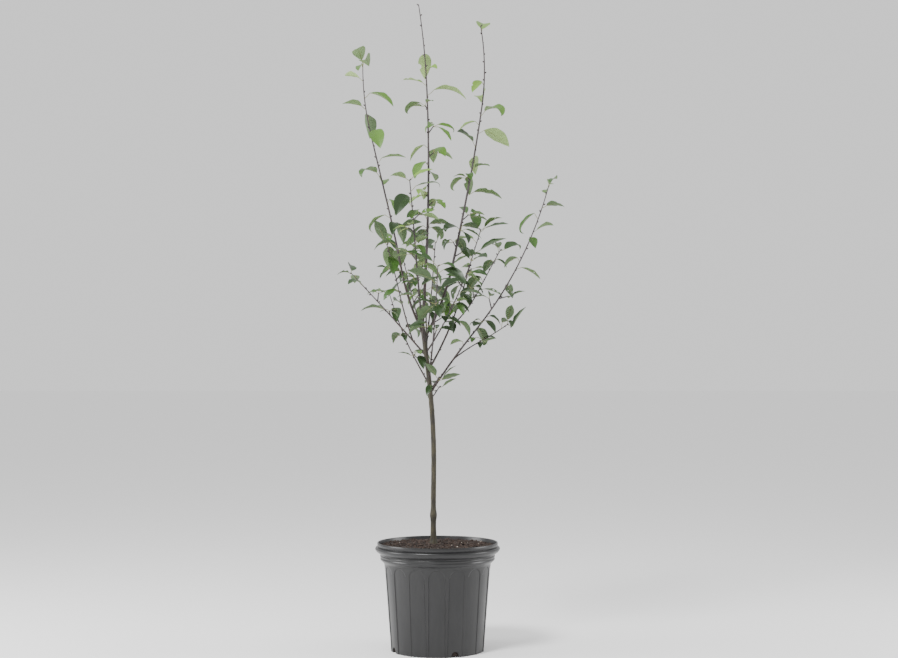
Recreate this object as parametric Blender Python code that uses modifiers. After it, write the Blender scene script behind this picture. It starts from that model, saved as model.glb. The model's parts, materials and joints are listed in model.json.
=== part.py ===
"""Young cherry tree in a fluted nursery pot.

Metres, +Z up. The origin is the middle of the pot's flat underside, and the tree is seen from -Y.
The trunk bears a leader and long upright shoots. A shoot is a bare bough that runs on into a foliage
mass: one stem with leafy spurs and single leaves, set by a seeded rule.
"""

import math
import random
from dataclasses import dataclass

import bmesh
import bpy
from mathutils import Vector
from mathutils.bvhtree import BVHTree

NAME = "potted_cherry_tree"
UP = Vector((0, 0, 1))
GAP = 0.0003  # between neighbouring solids
WELD = 0.00001

# Pot
POT_WALL = 0.0042
POT_FLOOR = 0.003
BODY_TOP_RADIUS = 0.1322
BODY_TOP = 0.2165
FOOT_RADIUS = 0.116
POT_STEPS = 40
LIP = (  # (radius, height) of the rolled lip, from its inner side over the top to the groove below it
    (0.1468, 0.2673),
    (0.1483, 0.268),
    (0.1498, 0.2665),
    (0.1486, 0.2572),
)
FLANGE = ((0.1527, 0.257), (0.1548, 0.2545), (0.1548, 0.2515), (0.1532, 0.2493), (0.1468, 0.2418))
NECK = (  # two low beads, then the shoulder
    (0.1428, 0.2385),
    (0.1429, 0.2342),
    (0.1416, 0.2309),
    (0.1429, 0.2275),
    (0.1416, 0.2242),
    (0.1386, 0.222),
    (0.1332, 0.2175),
)
WALL_LINE = (  # outer side without its relief, which the inner side follows down to the floor
    (0.1502, 0.2572),
    (0.1426, 0.2385),
    (0.1416, 0.2235),
    (BODY_TOP_RADIUS, BODY_TOP),
    (FOOT_RADIUS, POT_FLOOR),
)

# Flutes of the pot: recessed panels with round tops
FLUTES = 16
FLUTE_TURN = -0.75  # degrees from -Y to the middle of the first flute
FLUTE_WIDTH = 0.041
FLUTE_DEPTH = 0.0016
FLUTE_TOP = 0.2128
ARCH_STEPS = 6
RIB_ROOT = 0.001  # how far the ribs between them run into the shell
CUT_FROM, CUT_TO = 0.09, 0.15  # radii that the cutters span
CUT_BELOW = 0.01  # how far they hang below the foot

# Drain notches in the foot of every fourth flute
DRAINS = 4
FIRST_DRAIN = 1
DRAIN_WIDTH = 0.018
DRAIN_HEIGHT = 0.014
DRAIN_REACH = 0.012  # how far in from the foot's edge

# Soil
SOIL_EDGE = 0.2605
SOIL_CROWN = 0.263
CROWN_RADIUS = 0.05

# Trunk
TRUNK_FOOT = Vector((-0.0102, 0, SOIL_CROWN + GAP))
TRUNK_AZIMUTH = 180
TRUNK_LEANS = (0.3, -0.7, 5.4, 8.1)
TRUNK_LENGTH = 0.548
TRUNK_RADII = (0.0066, 0.0057)
FLARE = 0.0042  # how much wider the root flare is at the soil
FLARE_FADE = 0.017
GRAFT_HEIGHT = 0.071
GRAFT_SWELL = 0.0022
GRAFT_SPREAD = 0.011
FORK_TAPER = 0.018  # last stretch of the trunk, drawn in to the leader
FORK_SHARE = 0.92

# Limbs
STRIDE = 0.005  # between the points of a limb's course
SEGMENT = 0.04  # between the rings of its solid
COLLAR = 0.35  # how much wider a limb is where it joins its parent
COLLAR_FADE = 0.008
TRUNK_ROUNDNESS = 4
BOUGH_ROUNDNESS = 2
STEM_ROUNDNESS = 0

# Leaves
LEAF_TURN = 144  # degrees round the stem from one bud to the next
LEAF_SCATTER = 22
SPACING_SPREAD = (0.7, 1.3)
FIRST_BUD = 0.012
PETIOLE_SHARE = 0.26
PETIOLE_RADIUS = 0.0009
PETIOLE_ANGLE = math.radians(52)  # out from the stem
BLADE_LENGTH = (0.68, 1.22)  # shares of the shoot's usual leaf
BLADE_WIDTH = (0.4, 0.52)  # shares of the blade's length
LIFT = (-34, 34)  # degrees above level at the blade's base
ARCH = (16, 66)  # degrees that the blade turns down by its tip
ROLL = 38
FOLD = (8, 30)  # degrees that each half is raised from flat
TIP_LIFT = 38  # degrees that the leaves at a stem's tip stand up further
TIP_SINK = 0.002  # how far below the tip they are rooted
LEAF_THICKNESS = 0.016  # share of the leaf's length, at its midrib
WIDEST = 0.38  # share of the blade's length
SHOULDER = 0.76
SMALL_LEAF = 0.075  # a shorter leaf has one ring fewer
CLEARANCE = 0.0012  # that a blade keeps to whatever is there already
PETIOLE_CLEAR = 0.006  # from the stem's skin to where that clearance begins

# Spurs: short side twigs with a fan of smaller leaves
SPUR_RADII = (0.0016, 0.0012)
SPUR_LENGTH = (0.008, 0.034)
SPUR_ANGLE = math.radians(48)
SPUR_LEAVES = (3, 4)
SPUR_SCATTER = 0.4
SPUR_LEAF = 0.66  # share of the shoot's usual leaf


@dataclass(frozen=True)
class Shoot:
    """One limb: where it leaves its parent, its course, its girth and the leaves that it bears."""

    parent: str
    leaves_at: float  # distance along the parent
    azimuth: float  # degrees from +X towards +Y
    leans: tuple  # degrees from upright, evenly spaced from foot to tip
    length: float
    radii: tuple  # at foot and tip
    bare: float  # length of the bough below its foliage mass
    seed: int
    spacing: float = 0.024  # between buds
    leaf: float = 0.074  # usual length of a blade
    keep: float = 0.8  # share of the buds that still bear leaves
    spurs: float = 0.35  # share of the buds near the foot that are leafy spurs
    tip_bare: float = 0.0  # leafless end of the stem
    tip_leaves: int = 2


SHOOTS = {
    "leader": Shoot("trunk", 0.545, 40, (5.5, 3, 0, -3.5, -11.5), 0.8, (0.004, 0.0011), 0.17, 1213,
                    spacing=0.03, spurs=0.45, tip_bare=0.13, tip_leaves=0),
    "left_tall": Shoot("trunk", 0.522, 207, (30, 12, 15, 15, -0.5), 0.683, (0.0032, 0.0011), 0.19, 899,
                       spacing=0.036, leaf=0.078, spurs=0.1),
    "right_tall": Shoot("trunk", 0.51, 20, (31, 13, 11.5, 8.5, -10.5), 0.815, (0.0036, 0.0013), 0.18, 763,
                        spacing=0.031, spurs=0.25, tip_bare=0.012, tip_leaves=0),
    "front_mid": Shoot("trunk", 0.5, 258, (32, 23, 19, 24), 0.425, (0.0031, 0.0012), 0.1, 1112, leaf=0.064),
    "right_low": Shoot("trunk", 0.375, 340, (34.5, 40.5, 28, 16), 0.595, (0.0027, 0.0011), 0.13, 1128,
                       spacing=0.026, leaf=0.059, spurs=0.25),
    "left_low": Shoot("trunk", 0.466, 163, (42, 45), 0.289, (0.0024, 0.0011), 0.12, 743,
                      spacing=0.03, leaf=0.052, spurs=0.25),
    "right_mid": Shoot("trunk", 0.43, 45, (40, 30, 21, 25), 0.41, (0.0027, 0.0011), 0.16, 965, spacing=0.028, leaf=0.062),
    "right_inner": Shoot("right_mid", 0.131, 10, (49, 28, 29), 0.24, (0.0018, 0.0011), 0.08, 947, leaf=0.058),
    "right_fork": Shoot("right_low", 0.105, 5, (52, 62, 54), 0.16, (0.0017, 0.0011), 0.05, 204, spacing=0.03, leaf=0.056),
    "left_mid": Shoot("left_low", 0.053, 168, (19, 13, 17), 0.25, (0.0019, 0.0011), 0.09, 820, spacing=0.028, leaf=0.06),
    "left_inner": Shoot("trunk", 0.495, 115, (34, 31, 28), 0.28, (0.0018, 0.0011), 0.1, 341, spacing=0.028, leaf=0.062),
    "back_inner": Shoot("trunk", 0.48, 80, (34, 24, 22), 0.31, (0.0022, 0.0011), 0.1, 1350, spacing=0.03, leaf=0.064),
    "back_mid": Shoot("trunk", 0.447, 92, (44, 42, 32, 24), 0.38, (0.0025, 0.0011), 0.11, 1434, spacing=0.03, leaf=0.064),
    "back_low": Shoot("trunk", 0.393, 124, (46, 44, 34, 30), 0.3, (0.0021, 0.0011), 0.09, 898, spacing=0.03, leaf=0.06),
    "front_low": Shoot("trunk", 0.411, 277, (46, 40, 28, 22), 0.33, (0.0023, 0.0011), 0.1, 1301, spacing=0.028, leaf=0.062),
    "front_right": Shoot("trunk", 0.475, 312, (46, 36, 28), 0.28, (0.0021, 0.0011), 0.08, 1028, spacing=0.028, leaf=0.06),
    "spray_right": Shoot("trunk", 0.384, 300, (62, 50), 0.05, (0.0016, 0.0012), 0, 1126, leaf=0.045, spurs=0),
    "spray_left": Shoot("trunk", 0.44, 215, (58, 50), 0.05, (0.0016, 0.0012), 0, 706, leaf=0.05, spurs=0),
    "spray_back": Shoot("trunk", 0.36, 60, (60, 50), 0.05, (0.0016, 0.0012), 0, 1151, leaf=0.045, spurs=0),
}


@dataclass(frozen=True)
class Leaf:
    """One leaf: where its petiole runs, and the frame and sizes of its blade."""

    root: Vector
    base: Vector
    heading: Vector  # level direction of the blade
    lift: float  # above level at the blade's base
    arch: float  # turned down by its tip
    roll: float
    fold: float
    length: float
    width: float


@dataclass(frozen=True)
class Spur:
    """A short side twig, from the middle of its stem to its tip."""

    root: Vector
    tip: Vector


class Limb:
    """A limb's course, as points every STRIDE, and its radius at a distance from its foot."""

    def __init__(self, start, azimuth, leans, length, radius):
        self.length = length
        self.radius = radius
        self.points = [start.copy()]
        count = math.ceil(length / STRIDE)
        for i in range(count):
            lean = math.radians(between(leans, (i + 0.5) / count))
            self.points.append(self.points[-1] + aim(azimuth, lean) * (length / count))

    def at(self, distance):
        """Point at this distance along the limb, or straight on past its ends."""
        place = distance / self.length * (len(self.points) - 1)
        low = min(max(int(place), 0), len(self.points) - 2)
        return self.points[low].lerp(self.points[low + 1], place - low)

    def ahead(self, distance):
        """Direction in which the limb grows there."""
        return (self.at(distance + STRIDE) - self.at(distance - STRIDE)).normalized()

    def stretch(self, start, end):
        """Distances from start to end, about a SEGMENT apart and closer over a collar."""
        near = [start + COLLAR_FADE] if start < COLLAR_FADE else []
        first = near[-1] if near else start
        count = max(1, round((end - first) / SEGMENT))
        return ([start] if near else []) + [first + (end - first) * i / count for i in range(count + 1)]


def between(values, share):
    """The value at this share of the way along evenly spaced values."""
    place = share * (len(values) - 1)
    low = min(int(place), len(values) - 2)
    return values[low] + (values[low + 1] - values[low]) * (place - low)


def aim(azimuth, lean):
    """Unit vector that leans from upright by lean towards azimuth degrees."""
    turn = math.radians(azimuth)
    return Vector((math.sin(lean) * math.cos(turn), math.sin(lean) * math.sin(turn), math.cos(lean)))


def trunk_radius(distance):
    """Radius of the trunk: an even taper, the root flare, the graft's swelling and the fork."""
    radius = between(TRUNK_RADII, distance / TRUNK_LENGTH)
    radius += FLARE * math.exp(-distance / FLARE_FADE)
    radius += GRAFT_SWELL * math.exp(-(((distance - GRAFT_HEIGHT) / GRAFT_SPREAD) ** 2))
    into_fork = max(0, 1 - (TRUNK_LENGTH - distance) / FORK_TAPER)
    return radius * (1 - (1 - FORK_SHARE) * into_fork**2)


def shoot_radius(shoot):
    """Function that gives a shoot's radius at a distance from its foot."""
    def radius(distance):
        collar = 1 + COLLAR * math.exp(-distance / COLLAR_FADE)
        return between(shoot.radii, min(distance / shoot.length, 1)) * collar
    return radius


def grow_limbs():
    """Every limb by name, parents first."""
    limbs = {"trunk": Limb(TRUNK_FOOT, TRUNK_AZIMUTH, TRUNK_LEANS, TRUNK_LENGTH, trunk_radius)}
    for name, shoot in SHOOTS.items():
        start = limbs[shoot.parent].at(shoot.leaves_at)
        limbs[name] = Limb(start, shoot.azimuth, shoot.leans, shoot.length, shoot_radius(shoot))
    return limbs


def leaf_from(root, axis, turn, size, stand, rng):
    """A leaf that leaves its stem at root, on the side that turn gives, stood up further by stand."""
    around = Vector((math.cos(turn), math.sin(turn), 0))
    out = (around - axis * around.dot(axis)).normalized()
    petiole = axis * math.cos(PETIOLE_ANGLE) + out * math.sin(PETIOLE_ANGLE)
    level = Vector((petiole.x, petiole.y, 0))
    length = size * rng.uniform(*BLADE_LENGTH)
    width = length * rng.uniform(*BLADE_WIDTH)
    lift = rng.uniform(*LIFT) + stand
    arch = rng.uniform(*ARCH)
    roll = rng.uniform(-ROLL, ROLL)
    fold = rng.uniform(*FOLD)
    base = root + petiole * (length * PETIOLE_SHARE)
    return Leaf(root, base, level.normalized(), *map(math.radians, (lift, arch, roll, fold)), length, width)


def spur_leaves(spur, turn, size, rng):
    """The fan of leaves at the tip of a spur."""
    axis = (spur.tip - spur.root).normalized()
    count = rng.randint(*SPUR_LEAVES)
    for i in range(count):
        side = turn + math.tau * i / count + rng.uniform(-SPUR_SCATTER, SPUR_SCATTER)
        yield leaf_from(spur.tip - axis * SPUR_RADII[1], axis, side, size * SPUR_LEAF, 0, rng)


def sprigs(shoot, limb):
    """What the rule grows on a shoot, from its foot up: pairs of a spur, or None, and its leaves."""
    rng = random.Random(shoot.seed)
    turn = rng.uniform(0, 360)
    distance = shoot.bare + FIRST_BUD + rng.uniform(0, shoot.spacing)
    while distance < shoot.length - shoot.tip_bare:
        turn += LEAF_TURN + rng.uniform(-LEAF_SCATTER, LEAF_SCATTER)
        side = math.radians(turn)
        root, axis = limb.at(distance), limb.ahead(distance)
        on_old_wood = shoot.spurs * (1 - distance / shoot.length) / (1 - shoot.bare / shoot.length)
        if rng.random() < on_old_wood:
            around = Vector((math.cos(side), math.sin(side), 0))
            out = (around - axis * around.dot(axis)).normalized()
            reach = rng.uniform(*SPUR_LENGTH)
            spur = Spur(root, root + (axis * math.cos(SPUR_ANGLE) + out * math.sin(SPUR_ANGLE)) * reach)
            yield spur, list(spur_leaves(spur, side, shoot.leaf, rng)), limb.radius(distance)
        else:
            leaf = leaf_from(root, axis, side, shoot.leaf, 0, rng)
            if rng.random() < shoot.keep:
                yield None, [leaf], limb.radius(distance)
        distance += shoot.spacing * rng.uniform(*SPACING_SPREAD)
    for i in range(shoot.tip_leaves):
        side = math.radians(turn) + math.pi * i
        axis = limb.ahead(shoot.length)
        root = limb.at(shoot.length) - axis * TIP_SINK
        yield None, [leaf_from(root, axis, side, shoot.leaf, TIP_LIFT, rng)], limb.radius(shoot.length)


def blade_half_width(share):
    """Half width at a share of the length, for a blade of width 2: pointed, widest below the middle."""
    return math.sin(math.pi * share**0.85) ** 0.9


def midrib(leaf, share):
    """Point on the midrib, and the blade's direction there."""
    end = leaf.lift - leaf.arch * share
    along = leaf.length * (math.sin(leaf.lift) - math.sin(end)) / leaf.arch
    rise = leaf.length * (math.cos(end) - math.cos(leaf.lift)) / leaf.arch
    point = leaf.base + leaf.heading * along + UP * rise
    return point, leaf.heading * math.cos(end) + UP * math.sin(end)


def blade_ring(leaf, share, swell):
    """Four points round the blade: one edge, top of the midrib, the other edge, its underside."""
    point, ahead = midrib(leaf, share)
    level = leaf.heading.cross(UP)
    top = level.cross(ahead)
    across = level * math.cos(leaf.roll) + top * math.sin(leaf.roll)
    top = across.cross(ahead)
    half = leaf.width / 2 * blade_half_width(share) + swell
    thick = leaf.length * LEAF_THICKNESS / 2 + swell
    side, raised = across * (half * math.cos(leaf.fold)), top * (half * math.sin(leaf.fold))
    return [point - side + raised, point + top * thick, point + side + raised, point - top * thick]


def petiole_ring(leaf, distance, swell):
    """Four points round the petiole, in the order of blade_ring."""
    ahead = (leaf.base - leaf.root).normalized()
    across = leaf.heading.cross(UP)
    top = across.cross(ahead)
    centre = leaf.root + ahead * distance
    radius = PETIOLE_RADIUS + swell
    return [centre - across * radius, centre + top * radius, centre + across * radius, centre - top * radius]


def leaf_rings(leaf, swell=0, start=0):
    """Rings of a leaf from its petiole's root, or from start metres out of it, to its tip."""
    shares = (0.5,) if leaf.length < SMALL_LEAF else (WIDEST, SHOULDER)
    rings = [petiole_ring(leaf, start, swell), petiole_ring(leaf, (leaf.base - leaf.root).length, swell)]
    rings += [blade_ring(leaf, share, swell) for share in shares]
    tip, ahead = midrib(leaf, 1)
    return rings + [[tip + ahead * swell]]


def round_rings(points, radii, sides):
    """Rings of this many sides round a course of points."""
    ahead = (points[-1] - points[0]).normalized()
    across = ahead.orthogonal().normalized()
    other = ahead.cross(across)
    spokes = [across * math.cos(turn) + other * math.sin(turn) for turn in spaced_turns(sides)]
    return [[point + spoke * radius for spoke in spokes] for point, radius in zip(points, radii)]


def spaced_turns(count):
    """Evenly spaced angles round a circle."""
    return [math.tau * i / count for i in range(count)]


def loft(rings):
    """Points and triangles of a closed skin over rings of equal size. The last ring may be one point."""
    points = [point for ring in rings for point in ring]
    size = len(rings[0])
    faces = [(0, i + 1, i) for i in range(1, size - 1)]
    for row in range(len(rings) - 1):
        low, high = row * size, (row + 1) * size
        for i in range(size):
            j = (i + 1) % size
            if len(rings[row + 1]) == 1:
                faces.append((low + i, low + j, high))
            else:
                faces += [(low + i, low + j, high + j), (low + i, high + j, high + i)]
    if len(rings[-1]) > 1:
        last = len(points) - size
        faces += [(last, last + i, last + i + 1) for i in range(1, size - 1)]
    return points, faces


class Crown:
    """Keeps every limb and leaf that is there, and lets in only what touches none of them."""

    def __init__(self, limbs):
        self.taken = []
        for limb in limbs.values():
            spots = limb.stretch(0, limb.length)
            rings = round_rings([limb.at(s) for s in spots], [limb.radius(s) + CLEARANCE for s in spots], 6)
            self.taken.append(BVHTree.FromPolygons(*loft(rings)))

    def is_free(self, shape):
        """Whether this swollen shape touches nothing that is there."""
        tree = BVHTree.FromPolygons(*shape)
        return not any(tree.overlap(other) for other in self.taken)

    def foliage(self, shoot, limb):
        """Rings of the spurs and leaves of one mass that find room."""
        for spur, leaves, stem in sprigs(shoot, limb):
            if spur:
                clear = spur.root.lerp(spur.tip, min(0.9, (stem + PETIOLE_CLEAR) / (spur.tip - spur.root).length))
                if not self.is_free(loft(round_rings([clear, spur.tip], [r + CLEARANCE for r in SPUR_RADII], 3))):
                    continue
                stem = SPUR_RADII[1]
                yield self.keep(round_rings([spur.root, spur.tip], SPUR_RADII, 3))
            for leaf in leaves:
                if self.is_free(loft(leaf_rings(leaf, CLEARANCE, stem + PETIOLE_CLEAR))):
                    yield self.keep(leaf_rings(leaf))

    def keep(self, rings):
        """Notes a shape as taken, and gives its rings back."""
        self.taken.append(BVHTree.FromPolygons(*loft(rings)))
        return rings


def finish(name, colour, roughness, metallic=0.0):
    """A plain Principled material."""
    material = bpy.data.materials.new(name)
    material.use_nodes = True
    shader = material.node_tree.nodes["Principled BSDF"]
    shader.inputs["Base Color"].default_value = (*colour, 1)
    shader.inputs["Roughness"].default_value = roughness
    shader.inputs["Metallic"].default_value = metallic
    return material


def new_collection(name):
    """A collection of the scene."""
    collection = bpy.data.collections.new(name)
    bpy.context.scene.collection.children.link(collection)
    return collection


def add_object(name, mesh, collection):
    """An object that shows this mesh."""
    made = bpy.data.objects.new(name, mesh)
    collection.objects.link(made)
    return made


def add_mesh(name, points, faces, collection):
    """An object made from points and faces."""
    mesh = bpy.data.meshes.new(name)
    mesh.from_pydata([tuple(point) for point in points], [], faces)
    return add_object(name, mesh, collection)


def as_cutter(made):
    """Marks an object as one that only cuts."""
    made.hide_render = True
    made.display_type = "WIRE"
    return made


def boolean(made, operation, other, solver="EXACT"):
    """Adds a Boolean with an object or with a whole collection."""
    modifier = made.modifiers.new(operation.lower(), "BOOLEAN")
    modifier.operation = operation
    modifier.solver = solver
    if isinstance(other, bpy.types.Collection):
        modifier.operand_type = "COLLECTION"
        modifier.collection = other
    else:
        modifier.object = other


def apply_modifiers(made):
    """Puts the evaluated mesh in place of the object's mesh and modifiers."""
    bpy.context.view_layer.update()
    evaluated = made.evaluated_get(bpy.context.evaluated_depsgraph_get())
    mesh = bpy.data.meshes.new_from_object(evaluated)
    made.modifiers.clear()
    made.data = mesh


def smooth(made, angle):
    """Shades smooth, with edges sharper than angle degrees kept sharp."""
    made.data.shade_smooth()
    made.data.set_sharp_from_angle(angle=math.radians(angle))


def turned(name, profile, steps, collection):
    """A turned shape from (radius, height) pairs, down the outer side first."""
    points = [(radius, 0, height) for radius, height in profile]
    edges = [(i, i + 1) for i in range(len(points) - 1)]
    mesh = bpy.data.meshes.new(name)
    mesh.from_pydata(points, edges, [])
    made = add_object(name, mesh, collection)
    screw = made.modifiers.new("turn", "SCREW")
    screw.steps = screw.render_steps = steps
    screw.use_merge_vertices = True
    screw.merge_threshold = WELD
    return made


def tube(name, points, radii, roundness, collection):
    """A tapering tube through points, as a closed mesh made from a bevelled curve."""
    curve = bpy.data.curves.new(name, "CURVE")
    curve.dimensions = "3D"
    curve.bevel_depth = 1
    curve.bevel_resolution = roundness
    curve.use_fill_caps = True
    spline = curve.splines.new("POLY")
    spline.points.add(len(points) - 1)
    for spot, point, radius in zip(spline.points, points, radii):
        spot.co = (*point, 1)
        spot.radius = radius
    drawn = add_object(name, curve, collection)
    bpy.context.view_layer.update()
    mesh = bpy.data.meshes.new_from_object(drawn.evaluated_get(bpy.context.evaluated_depsgraph_get()))
    bpy.data.objects.remove(drawn)
    welder = bmesh.new()
    welder.from_mesh(mesh)
    bmesh.ops.remove_doubles(welder, verts=welder.verts, dist=WELD)
    bmesh.ops.triangulate(welder, faces=[face for face in welder.faces if len(face.verts) > 4])
    welder.to_mesh(mesh)
    welder.free()
    return add_object(name, mesh, collection)


def limb_tube(name, limb, start, end, roundness, collection, swell=0.0):
    """The solid of a limb from one distance along it to another."""
    spots = limb.stretch(start, end)
    return tube(name, [limb.at(s) for s in spots], [limb.radius(s) + swell for s in spots], roundness, collection)


def pot_wall_radius(height):
    """Outer radius of the pot's tapering body."""
    return FOOT_RADIUS + (BODY_TOP_RADIUS - FOOT_RADIUS) * height / BODY_TOP


def inner_wall(inset):
    """The inner side's section from the groove down, this far in from the outer side."""
    return [(radius - inset, height) for radius, height in WALL_LINE]


def pot_profile():
    """The pot's section: down the outer side at the depth of the flutes, then up the inner side."""
    panels = [(pot_wall_radius(height) - FLUTE_DEPTH, height) for height in (FLUTE_TOP, 0)]
    underside = [(0, 0), (0, POT_FLOOR)]
    return [*LIP, *FLANGE, *NECK, *panels, *underside, *inner_wall(POT_WALL)[::-1], LIP[0]]


def radial_prism(name, outline, degrees, near, far, collection):
    """A prism that stands on an outline of (across, height) pairs and runs outwards from near to far."""
    turn = math.radians(degrees - 90)
    outward, across = Vector((math.cos(turn), math.sin(turn), 0)), Vector((-math.sin(turn), math.cos(turn), 0))
    rings = [
        [outward * reach + across * side + UP * height for side, height in outline] for reach in (near, far)
    ]
    return as_cutter(add_mesh(name, *loft(rings), collection))


def arch_outline(width, foot, top):
    """An upright outline with a half-round top, anticlockwise seen from outside."""
    spring = top - width / 2
    arch = [math.pi * i / ARCH_STEPS for i in range(ARCH_STEPS + 1)]
    arc = [(width / 2 * math.cos(turn), spring + width / 2 * math.sin(turn)) for turn in arch]
    return [(-width / 2, foot), (width / 2, foot)] + arc


def build_pot(parts):
    """The pot: a turned shell, ribs left between the flutes, and drain notches."""
    pot = turned("pot", pot_profile(), POT_STEPS, parts)
    inside = FLUTE_DEPTH + RIB_ROOT
    skin_profile = [
        (BODY_TOP_RADIUS, BODY_TOP),
        (FOOT_RADIUS, 0),
        (FOOT_RADIUS - inside, 0),
        (BODY_TOP_RADIUS - inside, BODY_TOP),
        (BODY_TOP_RADIUS, BODY_TOP),
    ]
    ribs = turned("ribs", skin_profile, POT_STEPS, parts)
    panels = new_collection("panels")
    for i in range(FLUTES):
        outline = arch_outline(FLUTE_WIDTH, -CUT_BELOW, FLUTE_TOP)
        radial_prism(f"flute_{i}", outline, FLUTE_TURN + 360 * i / FLUTES, CUT_FROM, CUT_TO, panels)
    boolean(ribs, "DIFFERENCE", panels)
    apply_modifiers(ribs)
    boolean(pot, "UNION", ribs)
    drains = new_collection("drains")
    for i in range(DRAINS):
        outline = arch_outline(DRAIN_WIDTH, -CUT_BELOW, DRAIN_HEIGHT)
        degrees = FLUTE_TURN + 360 * (i * FLUTES / DRAINS + FIRST_DRAIN) / FLUTES
        radial_prism(f"drain_{i}", outline, degrees, FOOT_RADIUS - DRAIN_REACH, CUT_TO, drains)
    boolean(pot, "DIFFERENCE", drains)
    apply_modifiers(pot)
    for group in (panels, drains):
        for cutter in list(group.objects):
            bpy.data.objects.remove(cutter)
        bpy.data.collections.remove(group)
    bpy.data.objects.remove(ribs)
    smooth(pot, 25)
    pot.data.materials.append(finish("pot_plastic", (0.035, 0.035, 0.037), 0.42))


def build_soil(parts):
    """The potting mix that fills the pot up to just below its rim."""
    wall = inner_wall(POT_WALL + 2 * GAP)
    wall[-1] = (wall[-1][0], POT_FLOOR + GAP)
    profile = [(0, SOIL_CROWN), (CROWN_RADIUS, SOIL_CROWN), (wall[0][0], SOIL_EDGE)] + wall + [(0, POT_FLOOR + GAP)]
    soil = turned("soil", profile, POT_STEPS, parts)
    apply_modifiers(soil)
    smooth(soil, 30)
    soil.data.materials.append(finish("potting_mix", (0.045, 0.028, 0.02), 0.95))


def build_limbs(limbs, parts, cutters):
    """The trunk and the boughs. A bough's foot is cut to the saddle of its parent."""
    bark = finish("bark", (0.07, 0.045, 0.03), 0.7)
    trunk = limb_tube("trunk", limbs["trunk"], 0, TRUNK_LENGTH, TRUNK_ROUNDNESS, parts)
    smooth(trunk, 60)
    trunk.data.materials.append(bark)
    saddles = {}
    for parent in sorted({shoot.parent for shoot in SHOOTS.values()}):
        length, roundness = (TRUNK_LENGTH, TRUNK_ROUNDNESS) if parent == "trunk" else (
            SHOOTS[parent].bare, BOUGH_ROUNDNESS)
        saddles[parent] = as_cutter(
            limb_tube(f"saddle_{parent}", limbs[parent], 0, length + 2 * GAP, roundness, cutters, 2 * GAP))
    for name, shoot in SHOOTS.items():
        if shoot.bare:
            bough = limb_tube(f"bough_{name}", limbs[name], 0, shoot.bare, BOUGH_ROUNDNESS, parts)
            boolean(bough, "DIFFERENCE", saddles[shoot.parent])
            apply_modifiers(bough)
            smooth(bough, 60)
            bough.data.materials.append(bark)
    return bark, saddles


def build_foliage(limbs, parts, bark, saddles):
    """The foliage masses: each a stem with its spurs and leaves joined on."""
    green = finish("leaf_green", (0.07, 0.16, 0.035), 0.5)
    crown = Crown(limbs)
    for name, shoot in SHOOTS.items():
        start = shoot.bare + GAP if shoot.bare else 0
        mass = limb_tube(f"foliage_{name}", limbs[name], start, shoot.length, STEM_ROUNDNESS, parts)
        mass.data.materials.append(bark)
        mass.data.materials.append(green)
        if not shoot.bare:
            boolean(mass, "DIFFERENCE", saddles[shoot.parent])
            apply_modifiers(mass)
        pieces = new_collection("pieces")
        for i, rings in enumerate(crown.foliage(shoot, limbs[name])):
            piece = add_mesh(f"piece_{i}", *loft(rings), pieces)
            piece.data.materials.append(bark)
            piece.data.materials.append(green)
            for face in piece.data.polygons:
                face.material_index = int(len(rings[-1]) == 1)
        boolean(mass, "UNION", pieces, "MANIFOLD")
        apply_modifiers(mass)
        for piece in list(pieces.objects):
            bpy.data.objects.remove(piece)
        bpy.data.collections.remove(pieces)


def main():
    """Builds the pot, the soil and the tree."""
    for old in list(bpy.data.objects):
        bpy.data.objects.remove(old)
    parts, cutters = new_collection(NAME), new_collection("cutters")
    build_pot(parts)
    build_soil(parts)
    limbs = grow_limbs()
    bark, saddles = build_limbs(limbs, parts, cutters)
    build_foliage(limbs, parts, bark, saddles)


if __name__ == "__main__":
    main()
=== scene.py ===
"""Young cherry tree in a fluted nursery pot: the detailed look built round its CAD frame."""

import json
import logging
import math
import random
from collections.abc import Callable, Iterator, Sequence
from dataclasses import dataclass, field
from enum import Enum

import bpy
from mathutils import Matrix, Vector, noise
from mathutils.bvhtree import BVHTree

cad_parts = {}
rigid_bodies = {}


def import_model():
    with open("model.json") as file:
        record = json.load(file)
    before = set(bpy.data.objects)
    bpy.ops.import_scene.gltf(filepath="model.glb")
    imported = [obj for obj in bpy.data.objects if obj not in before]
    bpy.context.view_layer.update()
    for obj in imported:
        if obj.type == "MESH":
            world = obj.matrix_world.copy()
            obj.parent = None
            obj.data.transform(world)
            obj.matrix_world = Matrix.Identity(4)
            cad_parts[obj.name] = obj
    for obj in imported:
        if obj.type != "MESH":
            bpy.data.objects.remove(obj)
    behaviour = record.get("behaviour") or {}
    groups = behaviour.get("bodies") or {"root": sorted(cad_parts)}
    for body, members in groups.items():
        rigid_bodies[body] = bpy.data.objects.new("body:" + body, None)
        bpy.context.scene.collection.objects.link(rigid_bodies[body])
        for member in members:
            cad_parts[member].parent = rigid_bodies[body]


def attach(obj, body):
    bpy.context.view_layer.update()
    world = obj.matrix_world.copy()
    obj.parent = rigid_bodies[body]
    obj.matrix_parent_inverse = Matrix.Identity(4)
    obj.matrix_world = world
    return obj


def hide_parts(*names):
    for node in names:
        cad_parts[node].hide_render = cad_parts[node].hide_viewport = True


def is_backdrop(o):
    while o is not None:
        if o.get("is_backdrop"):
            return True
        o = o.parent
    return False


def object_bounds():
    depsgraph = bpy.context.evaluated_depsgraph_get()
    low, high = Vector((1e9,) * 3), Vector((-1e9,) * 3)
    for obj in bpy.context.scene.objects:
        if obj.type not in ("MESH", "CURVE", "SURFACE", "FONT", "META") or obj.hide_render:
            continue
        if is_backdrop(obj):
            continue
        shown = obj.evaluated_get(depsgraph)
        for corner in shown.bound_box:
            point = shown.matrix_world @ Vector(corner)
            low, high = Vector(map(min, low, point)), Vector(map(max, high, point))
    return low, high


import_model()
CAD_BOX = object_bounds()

log = logging.getLogger("cherry")

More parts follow.
